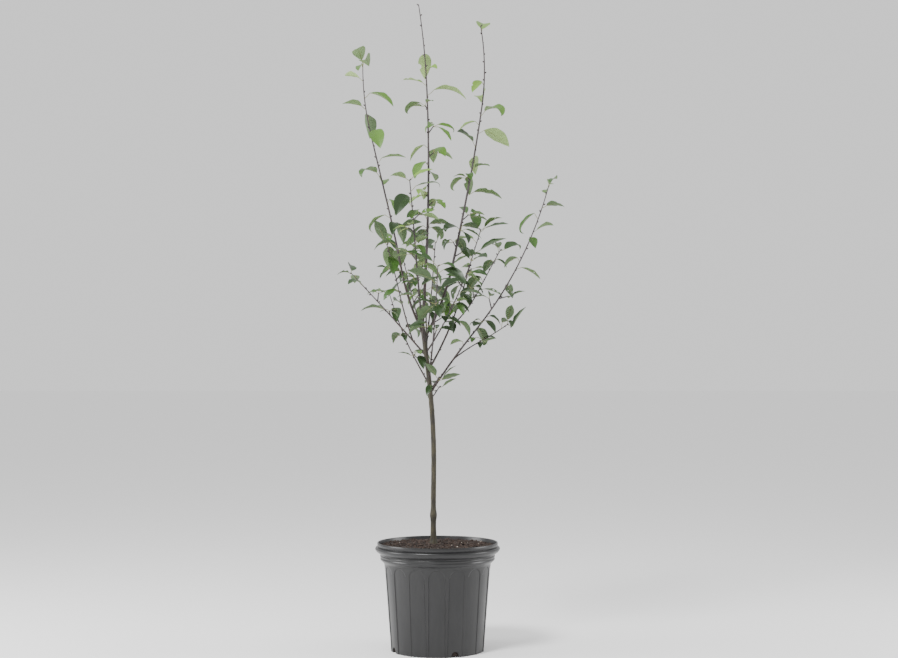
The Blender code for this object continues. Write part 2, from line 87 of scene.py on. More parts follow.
UP = Vector((0, 0, 1))
GAP = 0.0003

# The growing rule, with the CAD's own numbers
SOIL_CROWN = 0.263
TRUNK_FOOT = Vector((-0.0102, 0, SOIL_CROWN + GAP))
TRUNK_AZIMUTH = 180
TRUNK_LEANS = (0.3, -0.7, 5.4, 8.1)
TRUNK_LENGTH = 0.548
TRUNK_RADII = (0.0066, 0.0057)
FLARE = 0.0042
FLARE_FADE = 0.017
GRAFT_HEIGHT = 0.071
GRAFT_SWELL = 0.0022
GRAFT_SPREAD = 0.011
FORK_TAPER = 0.018
FORK_SHARE = 0.92
STRIDE = 0.005
SEGMENT = 0.04
COLLAR = 0.35
COLLAR_FADE = 0.008
LEAF_TURN = 144
LEAF_SCATTER = 22
SPACING_SPREAD = (0.7, 1.3)
FIRST_BUD = 0.012
PETIOLE_SHARE = 0.26
PETIOLE_RADIUS = 0.0009
PETIOLE_ANGLE = math.radians(52)
BLADE_LENGTH = (0.68, 1.22)
BLADE_WIDTH = (0.4, 0.52)
LIFT = (-34, 34)
ARCH = (16, 66)
ROLL = 38
FOLD = (8, 30)
TIP_LIFT = 38
TIP_SINK = 0.002
BLADE_SKEW = 0.85
BLADE_FULLNESS = 0.9
LEAF_THICKNESS = 0.016
LIMB_SIDES = 6
SPUR_SIDES = 3
WIDEST = 0.38
SHOULDER = 0.76
SMALL_LEAF = 0.075
CLEARANCE = 0.0012
PETIOLE_CLEAR = 0.006
SPUR_RADII = (0.0016, 0.0012)
SPUR_LENGTH = (0.008, 0.034)
SPUR_ANGLE = math.radians(48)
SPUR_LEAVES = (3, 4)
SPUR_SCATTER = 0.4
SPUR_LEAF = 0.66
MOST_OF_SPUR = 0.9

MOTTLE = "mottle"
MOTTLE_EDGES = (0.36, 0.64)
BUMP_DISTANCE = 0.001

Rings = list[list[Vector]]
Shape = tuple[list[Vector], list[tuple[int, ...]]]


@dataclass(frozen=True)
class Shoot:
    """One limb: where it leaves its parent, its course, its girth and the leaves that it bears."""

    parent: str
    leaves_at: float
    azimuth: float
    leans: tuple[float, ...]
    length: float
    radii: tuple[float, float]
    bare: float
    seed: int
    spacing: float = 0.024
    leaf: float = 0.074
    keep: float = 0.8
    spurs: float = 0.35
    tip_bare: float = 0.0
    tip_leaves: int = 2


SHOOTS: dict[str, Shoot] = {
    "leader": Shoot("trunk", 0.545, 40, (5.5, 3, 0, -3.5, -11.5), 0.8, (0.004, 0.0011), 0.17, 1213,
                    spacing=0.03, spurs=0.45, tip_bare=0.13, tip_leaves=0),
    "left_tall": Shoot("trunk", 0.522, 207, (30, 12, 15, 15, -0.5), 0.683, (0.0032, 0.0011), 0.19, 899,
                       spacing=0.036, leaf=0.078, spurs=0.1),
    "right_tall": Shoot("trunk", 0.51, 20, (31, 13, 11.5, 8.5, -10.5), 0.815, (0.0036, 0.0013), 0.18, 763,
                        spacing=0.031, spurs=0.25, tip_bare=0.012, tip_leaves=0),
    "front_mid": Shoot("trunk", 0.5, 258, (32, 23, 19, 24), 0.425, (0.0031, 0.0012), 0.1, 1112, leaf=0.064),
    "right_low": Shoot("trunk", 0.375, 340, (34.5, 40.5, 28, 16), 0.595, (0.0027, 0.0011), 0.13, 1128,
                       spacing=0.026, leaf=0.059, spurs=0.25),
    "left_low": Shoot("trunk", 0.466, 163, (42, 45), 0.289, (0.0024, 0.0011), 0.12, 743,
                      spacing=0.03, leaf=0.052, spurs=0.25),
    "right_mid": Shoot(
        "trunk", 0.43, 45, (40, 30, 21, 25), 0.41, (0.0027, 0.0011), 0.16, 965, spacing=0.028, leaf=0.062),
    "right_inner": Shoot("right_mid", 0.131, 10, (49, 28, 29), 0.24, (0.0018, 0.0011), 0.08, 947, leaf=0.058),
    "right_fork": Shoot(
        "right_low", 0.105, 5, (52, 62, 54), 0.16, (0.0017, 0.0011), 0.05, 204, spacing=0.03, leaf=0.056),
    "left_mid": Shoot(
        "left_low", 0.053, 168, (19, 13, 17), 0.25, (0.0019, 0.0011), 0.09, 820, spacing=0.028, leaf=0.06),
    "left_inner": Shoot(
        "trunk", 0.495, 115, (34, 31, 28), 0.28, (0.0018, 0.0011), 0.1, 341, spacing=0.028, leaf=0.062),
    "back_inner": Shoot(
        "trunk", 0.48, 80, (34, 24, 22), 0.31, (0.0022, 0.0011), 0.1, 1350, spacing=0.03, leaf=0.064),
    "back_mid": Shoot(
        "trunk", 0.447, 92, (44, 42, 32, 24), 0.38, (0.0025, 0.0011), 0.11, 1434, spacing=0.03, leaf=0.064),
    "back_low": Shoot(
        "trunk", 0.393, 124, (46, 44, 34, 30), 0.3, (0.0021, 0.0011), 0.09, 898, spacing=0.03, leaf=0.06),
    "front_low": Shoot(
        "trunk", 0.411, 277, (46, 40, 28, 22), 0.33, (0.0023, 0.0011), 0.1, 1301, spacing=0.028, leaf=0.062),
    "front_right": Shoot(
        "trunk", 0.475, 312, (46, 36, 28), 0.28, (0.0021, 0.0011), 0.08, 1028, spacing=0.028, leaf=0.06),
    "spray_right": Shoot("trunk", 0.384, 300, (62, 50), 0.05, (0.0016, 0.0012), 0, 1126, leaf=0.045, spurs=0),
    "spray_left": Shoot("trunk", 0.44, 215, (58, 50), 0.05, (0.0016, 0.0012), 0, 706, leaf=0.05, spurs=0),
    "spray_back": Shoot("trunk", 0.36, 60, (60, 50), 0.05, (0.0016, 0.0012), 0, 1151, leaf=0.045, spurs=0),
}


@dataclass(frozen=True)
class Leaf:
    """One leaf: where its petiole runs, and the frame and sizes of its blade."""

    root: Vector
    base: Vector
    heading: Vector
    lift: float
    arch: float
    roll: float
    fold: float
    length: float
    width: float

    def sides(self, ahead: Vector) -> tuple[Vector, Vector]:
        """Turns the rolled blade's frame.

        Args:
            ahead: direction of the midrib there.

        Returns:
            The directions across the blade and up from it.
        """
        level = self.heading.cross(UP)
        across = level * math.cos(self.roll) + level.cross(ahead) * math.sin(self.roll)
        return across, across.cross(ahead)


@dataclass(frozen=True)
class Spur:
    """A short side twig, from the middle of its stem to its tip."""

    root: Vector
    tip: Vector


@dataclass
class Sprig:
    """What has grown from one bud: a spur or none, and its leaves."""

    shoot: str
    spur: Spur | None
    leaves: list[Leaf] = field(default_factory=list)


def between(values: Sequence[float], share: float) -> float:
    """Reads evenly spaced values.

    Args:
        values: the values.
        share: how far along they are read, from 0 to 1.

    Returns:
        The value there.
    """
    place = share * (len(values) - 1)
    low = min(int(place), len(values) - 2)
    return values[low] + (values[low + 1] - values[low]) * (place - low)


def polar(radius: float, turn: float, height: float = 0) -> Vector:
    """Point at this distance from the axis, angle in radians and height."""
    return Vector((radius * math.cos(turn), radius * math.sin(turn), height))


def aim(azimuth: float, lean: float) -> Vector:
    """Unit vector at an azimuth in degrees from +X towards +Y and a lean in radians from upright."""
    return polar(math.sin(lean), math.radians(azimuth), math.cos(lean))


def outward(axis: Vector, turn: float) -> Vector:
    """Direction square to a stem, on the side at this angle in radians."""
    around = polar(1, turn)
    return (around - axis * around.dot(axis)).normalized()


def trunk_radius(distance: float) -> float:
    """Gives the trunk's girth.

    Args:
        distance: metres along the trunk.

    Returns:
        Its radius with the root flare, the graft's swelling and the fork.
    """
    radius = between(TRUNK_RADII, distance / TRUNK_LENGTH)
    radius += FLARE * math.exp(-distance / FLARE_FADE)
    radius += GRAFT_SWELL * math.exp(-(((distance - GRAFT_HEIGHT) / GRAFT_SPREAD) ** 2))
    into_fork = max(0, 1 - (TRUNK_LENGTH - distance) / FORK_TAPER)
    return radius * (1 - (1 - FORK_SHARE) * into_fork**2)


def shoot_radius(shoot: Shoot) -> Callable[[float], float]:
    """Makes the function of a shoot's girth.

    Args:
        shoot: the shoot.

    Returns:
        A function from metres along it to its radius.
    """
    def radius(distance: float) -> float:
        """Radius at this distance from the foot."""
        collar = 1 + COLLAR * math.exp(-distance / COLLAR_FADE)
        return between(shoot.radii, min(distance / shoot.length, 1)) * collar
    return radius


class Limb:
    """A limb's course, as points every STRIDE, and its radius along it."""

    def __init__(self, start: Vector, azimuth: float, leans: Sequence[float], length: float,
                 radius: Callable[[float], float]) -> None:
        """Grows the course.

        Args:
            start: its foot.
            azimuth: degrees from +X towards +Y.
            leans: degrees from upright, evenly spaced from foot to tip.
            length: metres.
            radius: function from metres along the limb to its radius.
        """
        self.length = length
        self.radius = radius
        self.points = [start.copy()]
        count = math.ceil(length / STRIDE)
        for i in range(count):
            lean = math.radians(between(leans, (i + 0.5) / count))
            self.points.append(self.points[-1] + aim(azimuth, lean) * (length / count))

    def at(self, distance: float) -> Vector:
        """Finds a point of the course.

        Args:
            distance: metres along the limb, or past its ends.

        Returns:
            The point.
        """
        place = distance / self.length * (len(self.points) - 1)
        low = min(max(int(place), 0), len(self.points) - 2)
        return self.points[low].lerp(self.points[low + 1], place - low)

    def ahead(self, distance: float) -> Vector:
        """Direction in which the limb grows there."""
        return (self.at(distance + STRIDE) - self.at(distance - STRIDE)).normalized()

    def stretch(self, start: float, end: float) -> list[float]:
        """Spaces the rings of the CAD solid.

        Args:
            start: metres along the limb.
            end: metres along the limb.

        Returns:
            Distances about a SEGMENT apart, closer over a collar.
        """
        near = [start + COLLAR_FADE] if start < COLLAR_FADE else []
        first = near[-1] if near else start
        count = max(1, round((end - first) / SEGMENT))
        return ([start] if near else []) + [first + (end - first) * i / count for i in range(count + 1)]


def grow_limbs() -> dict[str, Limb]:
    """Grows the trunk and every shoot.

    Returns:
        Limbs by name, parents first.
    """
    limbs = {"trunk": Limb(TRUNK_FOOT, TRUNK_AZIMUTH, TRUNK_LEANS, TRUNK_LENGTH, trunk_radius)}
    for name, shoot in SHOOTS.items():
        start = limbs[shoot.parent].at(shoot.leaves_at)
        limbs[name] = Limb(start, shoot.azimuth, shoot.leans, shoot.length, shoot_radius(shoot))
    return limbs


def blade_half_width(share: float) -> float:
    """Half width at a share of the length, for a blade of width 2."""
    return math.sin(math.pi * min(max(share, 0), 1) ** BLADE_SKEW) ** BLADE_FULLNESS


class Crown:
    """Grows the sprigs by the CAD's rule, and lets in only what touches nothing that is there."""

    def __init__(self, limbs: dict[str, Limb]) -> None:
        """Takes note of the limbs.

        Args:
            limbs: every limb by name.
        """
        self.limbs = limbs
        self.taken: list[BVHTree] = []
        for limb in limbs.values():
            spots = limb.stretch(0, limb.length)
            radii = [limb.radius(spot) + CLEARANCE for spot in spots]
            self.keep(self.round_rings([limb.at(spot) for spot in spots], radii, LIMB_SIDES))

    @staticmethod
    def leaf_from(root: Vector, axis: Vector, turn: float, size: float, stand: float,
                  rng: random.Random) -> Leaf:
        """Draws one leaf.

        Args:
            root: where its petiole starts.
            axis: direction of the stem there.
            turn: side of the stem, in radians.
            size: usual length of a blade.
            stand: degrees that it stands up further.
            rng: the shoot's random draws.

        Returns:
            The leaf.
        """
        petiole = axis * math.cos(PETIOLE_ANGLE) + outward(axis, turn) * math.sin(PETIOLE_ANGLE)
        level = Vector((petiole.x, petiole.y, 0))
        length = size * rng.uniform(*BLADE_LENGTH)
        width = length * rng.uniform(*BLADE_WIDTH)
        lift = rng.uniform(*LIFT) + stand
        arch = rng.uniform(*ARCH)
        roll = rng.uniform(-ROLL, ROLL)
        fold = rng.uniform(*FOLD)
        base = root + petiole * (length * PETIOLE_SHARE)
        angles = map(math.radians, (lift, arch, roll, fold))
        return Leaf(root, base, level.normalized(), *angles, length, width)

    def spur_leaves(self, spur: Spur, turn: float, size: float, rng: random.Random) -> Iterator[Leaf]:
        """Draws the fan of leaves at the tip of a spur.

        Args:
            spur: the spur.
            turn: side of the stem that it leaves, in radians.
            size: usual length of the shoot's blades.
            rng: the shoot's random draws.

        Yields:
            Its leaves.
        """
        axis = (spur.tip - spur.root).normalized()
        count = rng.randint(*SPUR_LEAVES)
        for i in range(count):
            side = turn + math.tau * i / count + rng.uniform(-SPUR_SCATTER, SPUR_SCATTER)
            yield self.leaf_from(spur.tip - axis * SPUR_RADII[1], axis, side, size * SPUR_LEAF, 0, rng)

    def drawn(self, name: str) -> Iterator[tuple[Sprig, float]]:
        """Draws what the rule grows on a shoot before anything is skipped.

        Args:
            name: the shoot.

        Yields:
            Each sprig with the radius of the stem where it stands.
        """
        shoot, limb = SHOOTS[name], self.limbs[name]
        rng = random.Random(shoot.seed)
        turn = rng.uniform(0, 360)
        distance = shoot.bare + FIRST_BUD + rng.uniform(0, shoot.spacing)
        while distance < shoot.length - shoot.tip_bare:
            turn += LEAF_TURN + rng.uniform(-LEAF_SCATTER, LEAF_SCATTER)
            side = math.radians(turn)
            root, axis = limb.at(distance), limb.ahead(distance)
            on_old_wood = shoot.spurs * (1 - distance / shoot.length) / (1 - shoot.bare / shoot.length)
            if rng.random() < on_old_wood:
                ahead = axis * math.cos(SPUR_ANGLE) + outward(axis, side) * math.sin(SPUR_ANGLE)
                spur = Spur(root, root + ahead * rng.uniform(*SPUR_LENGTH))
                leaves = list(self.spur_leaves(spur, side, shoot.leaf, rng))
                yield Sprig(name, spur, leaves), limb.radius(distance)
            else:
                leaf = self.leaf_from(root, axis, side, shoot.leaf, 0, rng)
                if rng.random() < shoot.keep:
                    yield Sprig(name, None, [leaf]), limb.radius(distance)
            distance += shoot.spacing * rng.uniform(*SPACING_SPREAD)
        for i in range(shoot.tip_leaves):
            side = math.radians(turn) + math.pi * i
            axis = limb.ahead(shoot.length)
            root = limb.at(shoot.length) - axis * TIP_SINK
            leaf = self.leaf_from(root, axis, side, shoot.leaf, TIP_LIFT, rng)
            yield Sprig(name, None, [leaf]), limb.radius(shoot.length)

    def sprigs(self) -> Iterator[Sprig]:
        """Grows every shoot in turn and skips what finds no room.

        Yields:
            The sprigs that are kept.
        """
        for name in SHOOTS:
            for sprig, stem in self.drawn(name):
                spur = sprig.spur
                if spur:
                    start = min(MOST_OF_SPUR, (stem + PETIOLE_CLEAR) / (spur.tip - spur.root).length)
                    ends = [spur.root.lerp(spur.tip, start), spur.tip]
                    radii = [radius + CLEARANCE for radius in SPUR_RADII]
                    if not self.is_free(self.loft(self.round_rings(ends, radii, SPUR_SIDES))):
                        continue
                    stem = SPUR_RADII[1]
                    self.keep(self.round_rings([spur.root, spur.tip], SPUR_RADII, SPUR_SIDES))
                kept = []
                for leaf in sprig.leaves:
                    if self.is_free(self.loft(self.leaf_rings(leaf, CLEARANCE, stem + PETIOLE_CLEAR))):
                        self.keep(self.leaf_rings(leaf))
                        kept.append(leaf)
                yield Sprig(name, spur, kept)

    def is_free(self, shape: Shape) -> bool:
        """Whether a swollen shape touches nothing that is there."""
        tree = BVHTree.FromPolygons(*shape)
        return not any(tree.overlap(other) for other in self.taken)

    def keep(self, rings: Rings) -> None:
        """Notes a shape as taken."""
        self.taken.append(BVHTree.FromPolygons(*self.loft(rings)))

    @staticmethod
    def midrib(leaf: Leaf, share: float) -> tuple[Vector, Vector]:
        """Follows the midrib of the CAD's leaf.

        Args:
            leaf: the leaf.
            share: how far along the blade.

        Returns:
            The point there and the blade's direction.
        """
        end = leaf.lift - leaf.arch * share
        along = leaf.length * (math.sin(leaf.lift) - math.sin(end)) / leaf.arch
        rise = leaf.length * (math.cos(end) - math.cos(leaf.lift)) / leaf.arch
        return (leaf.base + leaf.heading * along + UP * rise,
                leaf.heading * math.cos(end) + UP * math.sin(end))

    def blade_ring(self, leaf: Leaf, share: float, swell: float) -> list[Vector]:
        """Four points round the CAD's blade.

        Args:
            leaf: the leaf.
            share: how far along the blade.
            swell: metres added all round.

        Returns:
            One edge, the top of the midrib, the other edge and the underside.
        """
        point, ahead = self.midrib(leaf, share)
        across, top = leaf.sides(ahead)
        half = leaf.width / 2 * blade_half_width(share) + swell
        thick = leaf.length * LEAF_THICKNESS / 2 + swell
        side, raised = across * (half * math.cos(leaf.fold)), top * (half * math.sin(leaf.fold))
        return [point - side + raised, point + top * thick, point + side + raised, point - top * thick]

    def leaf_rings(self, leaf: Leaf, swell: float = 0, start: float = 0) -> Rings:
        """Rings of the CAD's leaf.

        Args:
            leaf: the leaf.
            swell: metres added all round.
            start: metres out of the petiole's root.

        Returns:
            Its rings, and its tip as a ring of one point.
        """
        ahead = (leaf.base - leaf.root).normalized()
        across = leaf.heading.cross(UP)
        top = across.cross(ahead)
        radius = PETIOLE_RADIUS + swell
        rings = []
        for distance in (start, (leaf.base - leaf.root).length):
            centre = leaf.root + ahead * distance
            rings.append([centre - across * radius, centre + top * radius, centre + across * radius,
                          centre - top * radius])
        shares = (0.5,) if leaf.length < SMALL_LEAF else (WIDEST, SHOULDER)
        rings += [self.blade_ring(leaf, share, swell) for share in shares]
        tip, ahead = self.midrib(leaf, 1)
        return rings + [[tip + ahead * swell]]

    @staticmethod
    def round_rings(points: Sequence[Vector], radii: Sequence[float], sides: int) -> Rings:
        """Puts rings square to the line between the ends of a course.

        Args:
            points: the course.
            radii: a radius for each point.
            sides: points per ring.

        Returns:
            The rings.
        """
        ahead = (points[-1] - points[0]).normalized()
        across = ahead.orthogonal().normalized()
        other = ahead.cross(across)
        turns = [math.tau * i / sides for i in range(sides)]
        spokes = [across * math.cos(turn) + other * math.sin(turn) for turn in turns]
        return [[point + spoke * radius for spoke in spokes] for point, radius in zip(points, radii)]

    @staticmethod
    def loft(rings: Rings) -> Shape:
        """Closes a skin of triangles over rings.

        Args:
            rings: rings of equal size. The last may be one point.

        Returns:
            Points and triangles.
        """
        points = [point for ring in rings for point in ring]
        size = len(rings[0])
        faces = [(0, i + 1, i) for i in range(1, size - 1)]
        for row in range(len(rings) - 1):
            low, high = row * size, (row + 1) * size
            for i in range(size):
                j = (i + 1) % size
                if len(rings[row + 1]) == 1:
                    faces.append((low + i, low + j, high))
                else:
                    faces += [(low + i, low + j, high + j), (low + i, high + j, high + i)]
        if len(rings[-1]) > 1:
            last = len(points) - size
            faces += [(last, last + i, last + i + 1) for i in range(1, size - 1)]
        return points, faces


class Nodes:
    """Short hand for one node tree."""

    def __init__(self, tree: bpy.types.NodeTree) -> None:
        """Takes the tree."""
        self.tree = tree

    def add(self, kind: str, values: dict[str | int, object] | None = None,
            **settings: object) -> bpy.types.Node:
        """Adds a node.

        Args:
            kind: its type.
            values: input values or the sockets that feed them, by input.
            settings: its own properties.

        Returns:
            The node.
        """
        node = self.tree.nodes.new(kind)
        for key, setting in settings.items():
            setattr(node, key, setting)
        for key, value in (values or {}).items():
            if isinstance(value, bpy.types.NodeSocket):
                self.tree.links.new(value, node.inputs[key])
            else:
                node.inputs[key].default_value = value
        return node


def mottle_group() -> bpy.types.NodeTree:
    """Makes the effect of a surface mottled between two colours.

    Returns:
        A group with inputs Dark, Light, Scale, Stretch and outputs Colour and Mask.
    """
    group = bpy.data.node_groups.new(MOTTLE, "ShaderNodeTree")
    for name, kind in (("Dark", "Color"), ("Light", "Color"), ("Scale", "Float"), ("Stretch", "Vector")):
        group.interface.new_socket(name, in_out="INPUT", socket_type=f"NodeSocket{kind}")
    group.interface.new_socket("Colour", in_out="OUTPUT", socket_type="NodeSocketColor")
    group.interface.new_socket("Mask", in_out="OUTPUT", socket_type="NodeSocketFloat")
    nodes = Nodes(group)
    inlet = nodes.add("NodeGroupInput").outputs
    where = nodes.add("ShaderNodeTexCoord").outputs["Object"]
    stretched = nodes.add("ShaderNodeVectorMath", {0: where, 1: inlet["Stretch"]}, operation="MULTIPLY")
    grain = nodes.add("ShaderNodeTexNoise", {"Vector": stretched.outputs[0], "Scale": inlet["Scale"],
                                             "Detail": 5.0, "Roughness": 0.62})
    mask = nodes.add("ShaderNodeMapRange", {"Value": grain.outputs["Fac"], "From Min": MOTTLE_EDGES[0],
                                            "From Max": MOTTLE_EDGES[1]})
    mixed = nodes.add("ShaderNodeMix", {0: mask.outputs[0], 6: inlet["Dark"], 7: inlet["Light"]},
                      data_type="RGBA")
    nodes.add("NodeGroupOutput", {"Colour": mixed.outputs[2], "Mask": mask.outputs[0]})
    return group


@dataclass(frozen=True)
class Finish:
    """Colours and sheen of one material."""

    name: str
    dark: tuple[float, float, float]
    light: tuple[float, float, float]
    roughness: float
    scale: float = 0.0
    stretch: tuple[float, float, float] = (1, 1, 1)
    bump: float = 0.0

    def material(self) -> bpy.types.Material:
        """Makes the material, with no mottling where the scale is 0.

        Returns:
            The material.
        """
        made = bpy.data.materials.new(self.name)
        made.use_nodes = True
        nodes = Nodes(made.node_tree)
        shader = made.node_tree.nodes["Principled BSDF"]
        shader.inputs["Base Color"].default_value = (*self.dark, 1)
        shader.inputs["Roughness"].default_value = self.roughness
        if self.scale:
            effect = nodes.add("ShaderNodeGroup", {"Dark": (*self.dark, 1), "Light": (*self.light, 1),
                                                   "Scale": self.scale, "Stretch": self.stretch},
                               node_tree=bpy.data.node_groups.get(MOTTLE) or mottle_group())
            made.node_tree.links.new(effect.outputs["Colour"], shader.inputs["Base Color"])
            bump = nodes.add("ShaderNodeBump", {"Height": effect.outputs["Mask"], "Strength": self.bump,
                                                "Distance": BUMP_DISTANCE})
            made.node_tree.links.new(bump.outputs[0], shader.inputs["Normal"])
        return made


POT_FINISH = Finish("pot_plastic", (0.006, 0.006, 0.0065), (0.0095, 0.0095, 0.01), 0.33, 60, (1, 1, 0.2), 0.1)
SOIL_FINISH = Finish("potting_mix", (0.006, 0.0035, 0.0025), (0.028, 0.016, 0.011), 0.95, 160, (1, 1, 1), 0.8)
CHIP_FINISH = Finish("bark_chips", (0.01, 0.0055, 0.004), (0.05, 0.031, 0.022), 0.9, 120, (1, 1, 1), 0.6)
FLECK_FINISH = Finish("pale_flecks", (0.3, 0.25, 0.2), (0.5, 0.45, 0.4), 0.9, 200, (1, 1, 1), 0.3)
TRUNK_FINISH = Finish("trunk_bark", (0.01, 0.008, 0.004), (0.036, 0.03, 0.013), 0.72, 130, (1, 1, 0.3), 0.5)
BOUGH_FINISH = Finish("bough_bark", (0.008, 0.004, 0.003), (0.03, 0.017, 0.013), 0.6, 150, (1, 1, 0.3), 0.4)
TWIG_FINISH = Finish("twig_bark", (0.014, 0.009, 0.009), (0.05, 0.037, 0.037), 0.6, 170, (1, 1, 0.4), 0.3)
PETIOLE_FINISH = Finish("petiole", (0.17, 0.17, 0.055), (0.17, 0.17, 0.055), 0.5)


class MeshBuilder:
    """Collects the points and faces of one piece."""

    def __init__(self) -> None:
        """Starts empty."""
        self.points: list[Vector] = []
        self.faces: list[tuple[int, ...]] = []
        self.slots: list[int] = []

    def add(self, points: Sequence[Vector], faces: Sequence[tuple[int, ...]],
            slots: Sequence[int] | None = None) -> None:
        """Adds a closed shape.

        Args:
            points: its points.
            faces: its faces, by index of its own points.
            slots: material slot of each face, or none for the first slot.
        """
        first = len(self.points)
        self.points += points
        self.faces += [tuple(first + i for i in face) for face in faces]
        self.slots += slots or [0] * len(faces)

    def add_skin(self, rings: Rings) -> None:
        """Adds a closed skin of quads over rings of equal size.

        Args:
            rings: the rings, anticlockwise seen from the far end.
        """
        size = len(rings[0])
        points = [point for ring in rings for point in ring]
        foot = sum(rings[0], Vector()) / size
        tip = sum(rings[-1], Vector()) / size
        points += [foot, tip]
        foot_index, tip_index, last = len(points) - 2, len(points) - 1, len(points) - 2 - size
        faces: list[tuple[int, ...]] = []
        for i in range(size):
            j = (i + 1) % size
            faces += [(row * size + i, row * size + j, row * size + size + j, row * size + size + i)
                      for row in range(len(rings) - 1)]
            faces += [(foot_index, j, i), (tip_index, last + i, last + j)]
        self.add(points, faces)

    def build(self, name: str, slot: str, finishes: Sequence[Finish], replaced: Sequence[str] = (),
              sharp: float = 60) -> bpy.types.Object:
        """Makes the piece, which rides on the frame.

        Args:
            name: its name.
            slot: its material slot in the record. Not used.
            finishes: its finishes, by material slot of its faces.
            replaced: CAD nodes that it takes the place of.
            sharp: degrees above which an edge stays sharp.

        Returns:
            The object.
        """
        mesh = bpy.data.meshes.new(name)
        mesh.from_pydata([tuple(point) for point in self.points], [], self.faces)
        for finish in finishes:
            mesh.materials.append(finish.material())
        mesh.polygons.foreach_set("material_index", self.slots)
        mesh.shade_smooth()
        mesh.set_sharp_from_angle(angle=math.radians(sharp))
        made = bpy.data.objects.new(name, mesh)
        bpy.context.scene.collection.objects.link(made)
        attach(made, "root")
        if replaced:
            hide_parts(*replaced)
        log.info("%s: %d triangles", name, sum(len(face) - 2 for face in self.faces))
        return made


def skin_rings(course: Sequence[Vector], radius: Callable[[int, float], float], sides: int) -> Rings:
    """Puts rings round a course with no twist.

    Args:
        course: its points.
        radius: function from the ring's number and the angle to a radius.
        sides: points per ring.

    Returns:
        The rings, anticlockwise seen from the far end.
    """
    rings: Rings = []
    across = (course[1] - course[0]).orthogonal().normalized()
    for i, point in enumerate(course):
        ahead = (course[min(i + 1, len(course) - 1)] - course[max(i - 1, 0)]).normalized()
        across = (across - ahead * across.dot(ahead)).normalized()
        other = ahead.cross(across)
        turns = [math.tau * k / sides for k in range(sides)]
        rings.append([point + (across * math.cos(turn) + other * math.sin(turn)) * radius(i, turn)
                      for turn in turns])
    return rings


class Tint(Enum):
    """Tints of the leaves, as the colours of the upper and the lower side."""

    DEEP = ((0.012, 0.034, 0.005), (0.05, 0.09, 0.03))
    DARK = ((0.018, 0.052, 0.007), (0.065, 0.11, 0.04))
    MID = ((0.032, 0.085, 0.01), (0.09, 0.15, 0.05))
    LIGHT = ((0.07, 0.155, 0.02), (0.14, 0.22, 0.08))
    YOUNG = ((0.14, 0.26, 0.035), (0.22, 0.32, 0.11))


class Damage(Enum):
    """What has happened to a leaf."""

    NONE = "none"
    HOLES = "holes"
    BITTEN = "bitten"
    CURLED = "curled"


@dataclass
class BladeSize:
    """Fineness of a blade's mesh, and the small shapes on it, as shares of its length."""

    rows: int = 40
    half_columns: int = 5
    thickness: float = 0.0085
    thinning: float = 0.45
    tooth: float = 0.035
    toothless_rows: int = 2
    wave: float = 0.012
    wave_turn: float = 17
    fold_power: float = 1.25
    vein: float = 0.0022
    veins: int = 7
    vein_slant: float = 0.9
    vein_fade: float = 3
    curl: float = math.radians(120)
    curl_from: float = 0.62


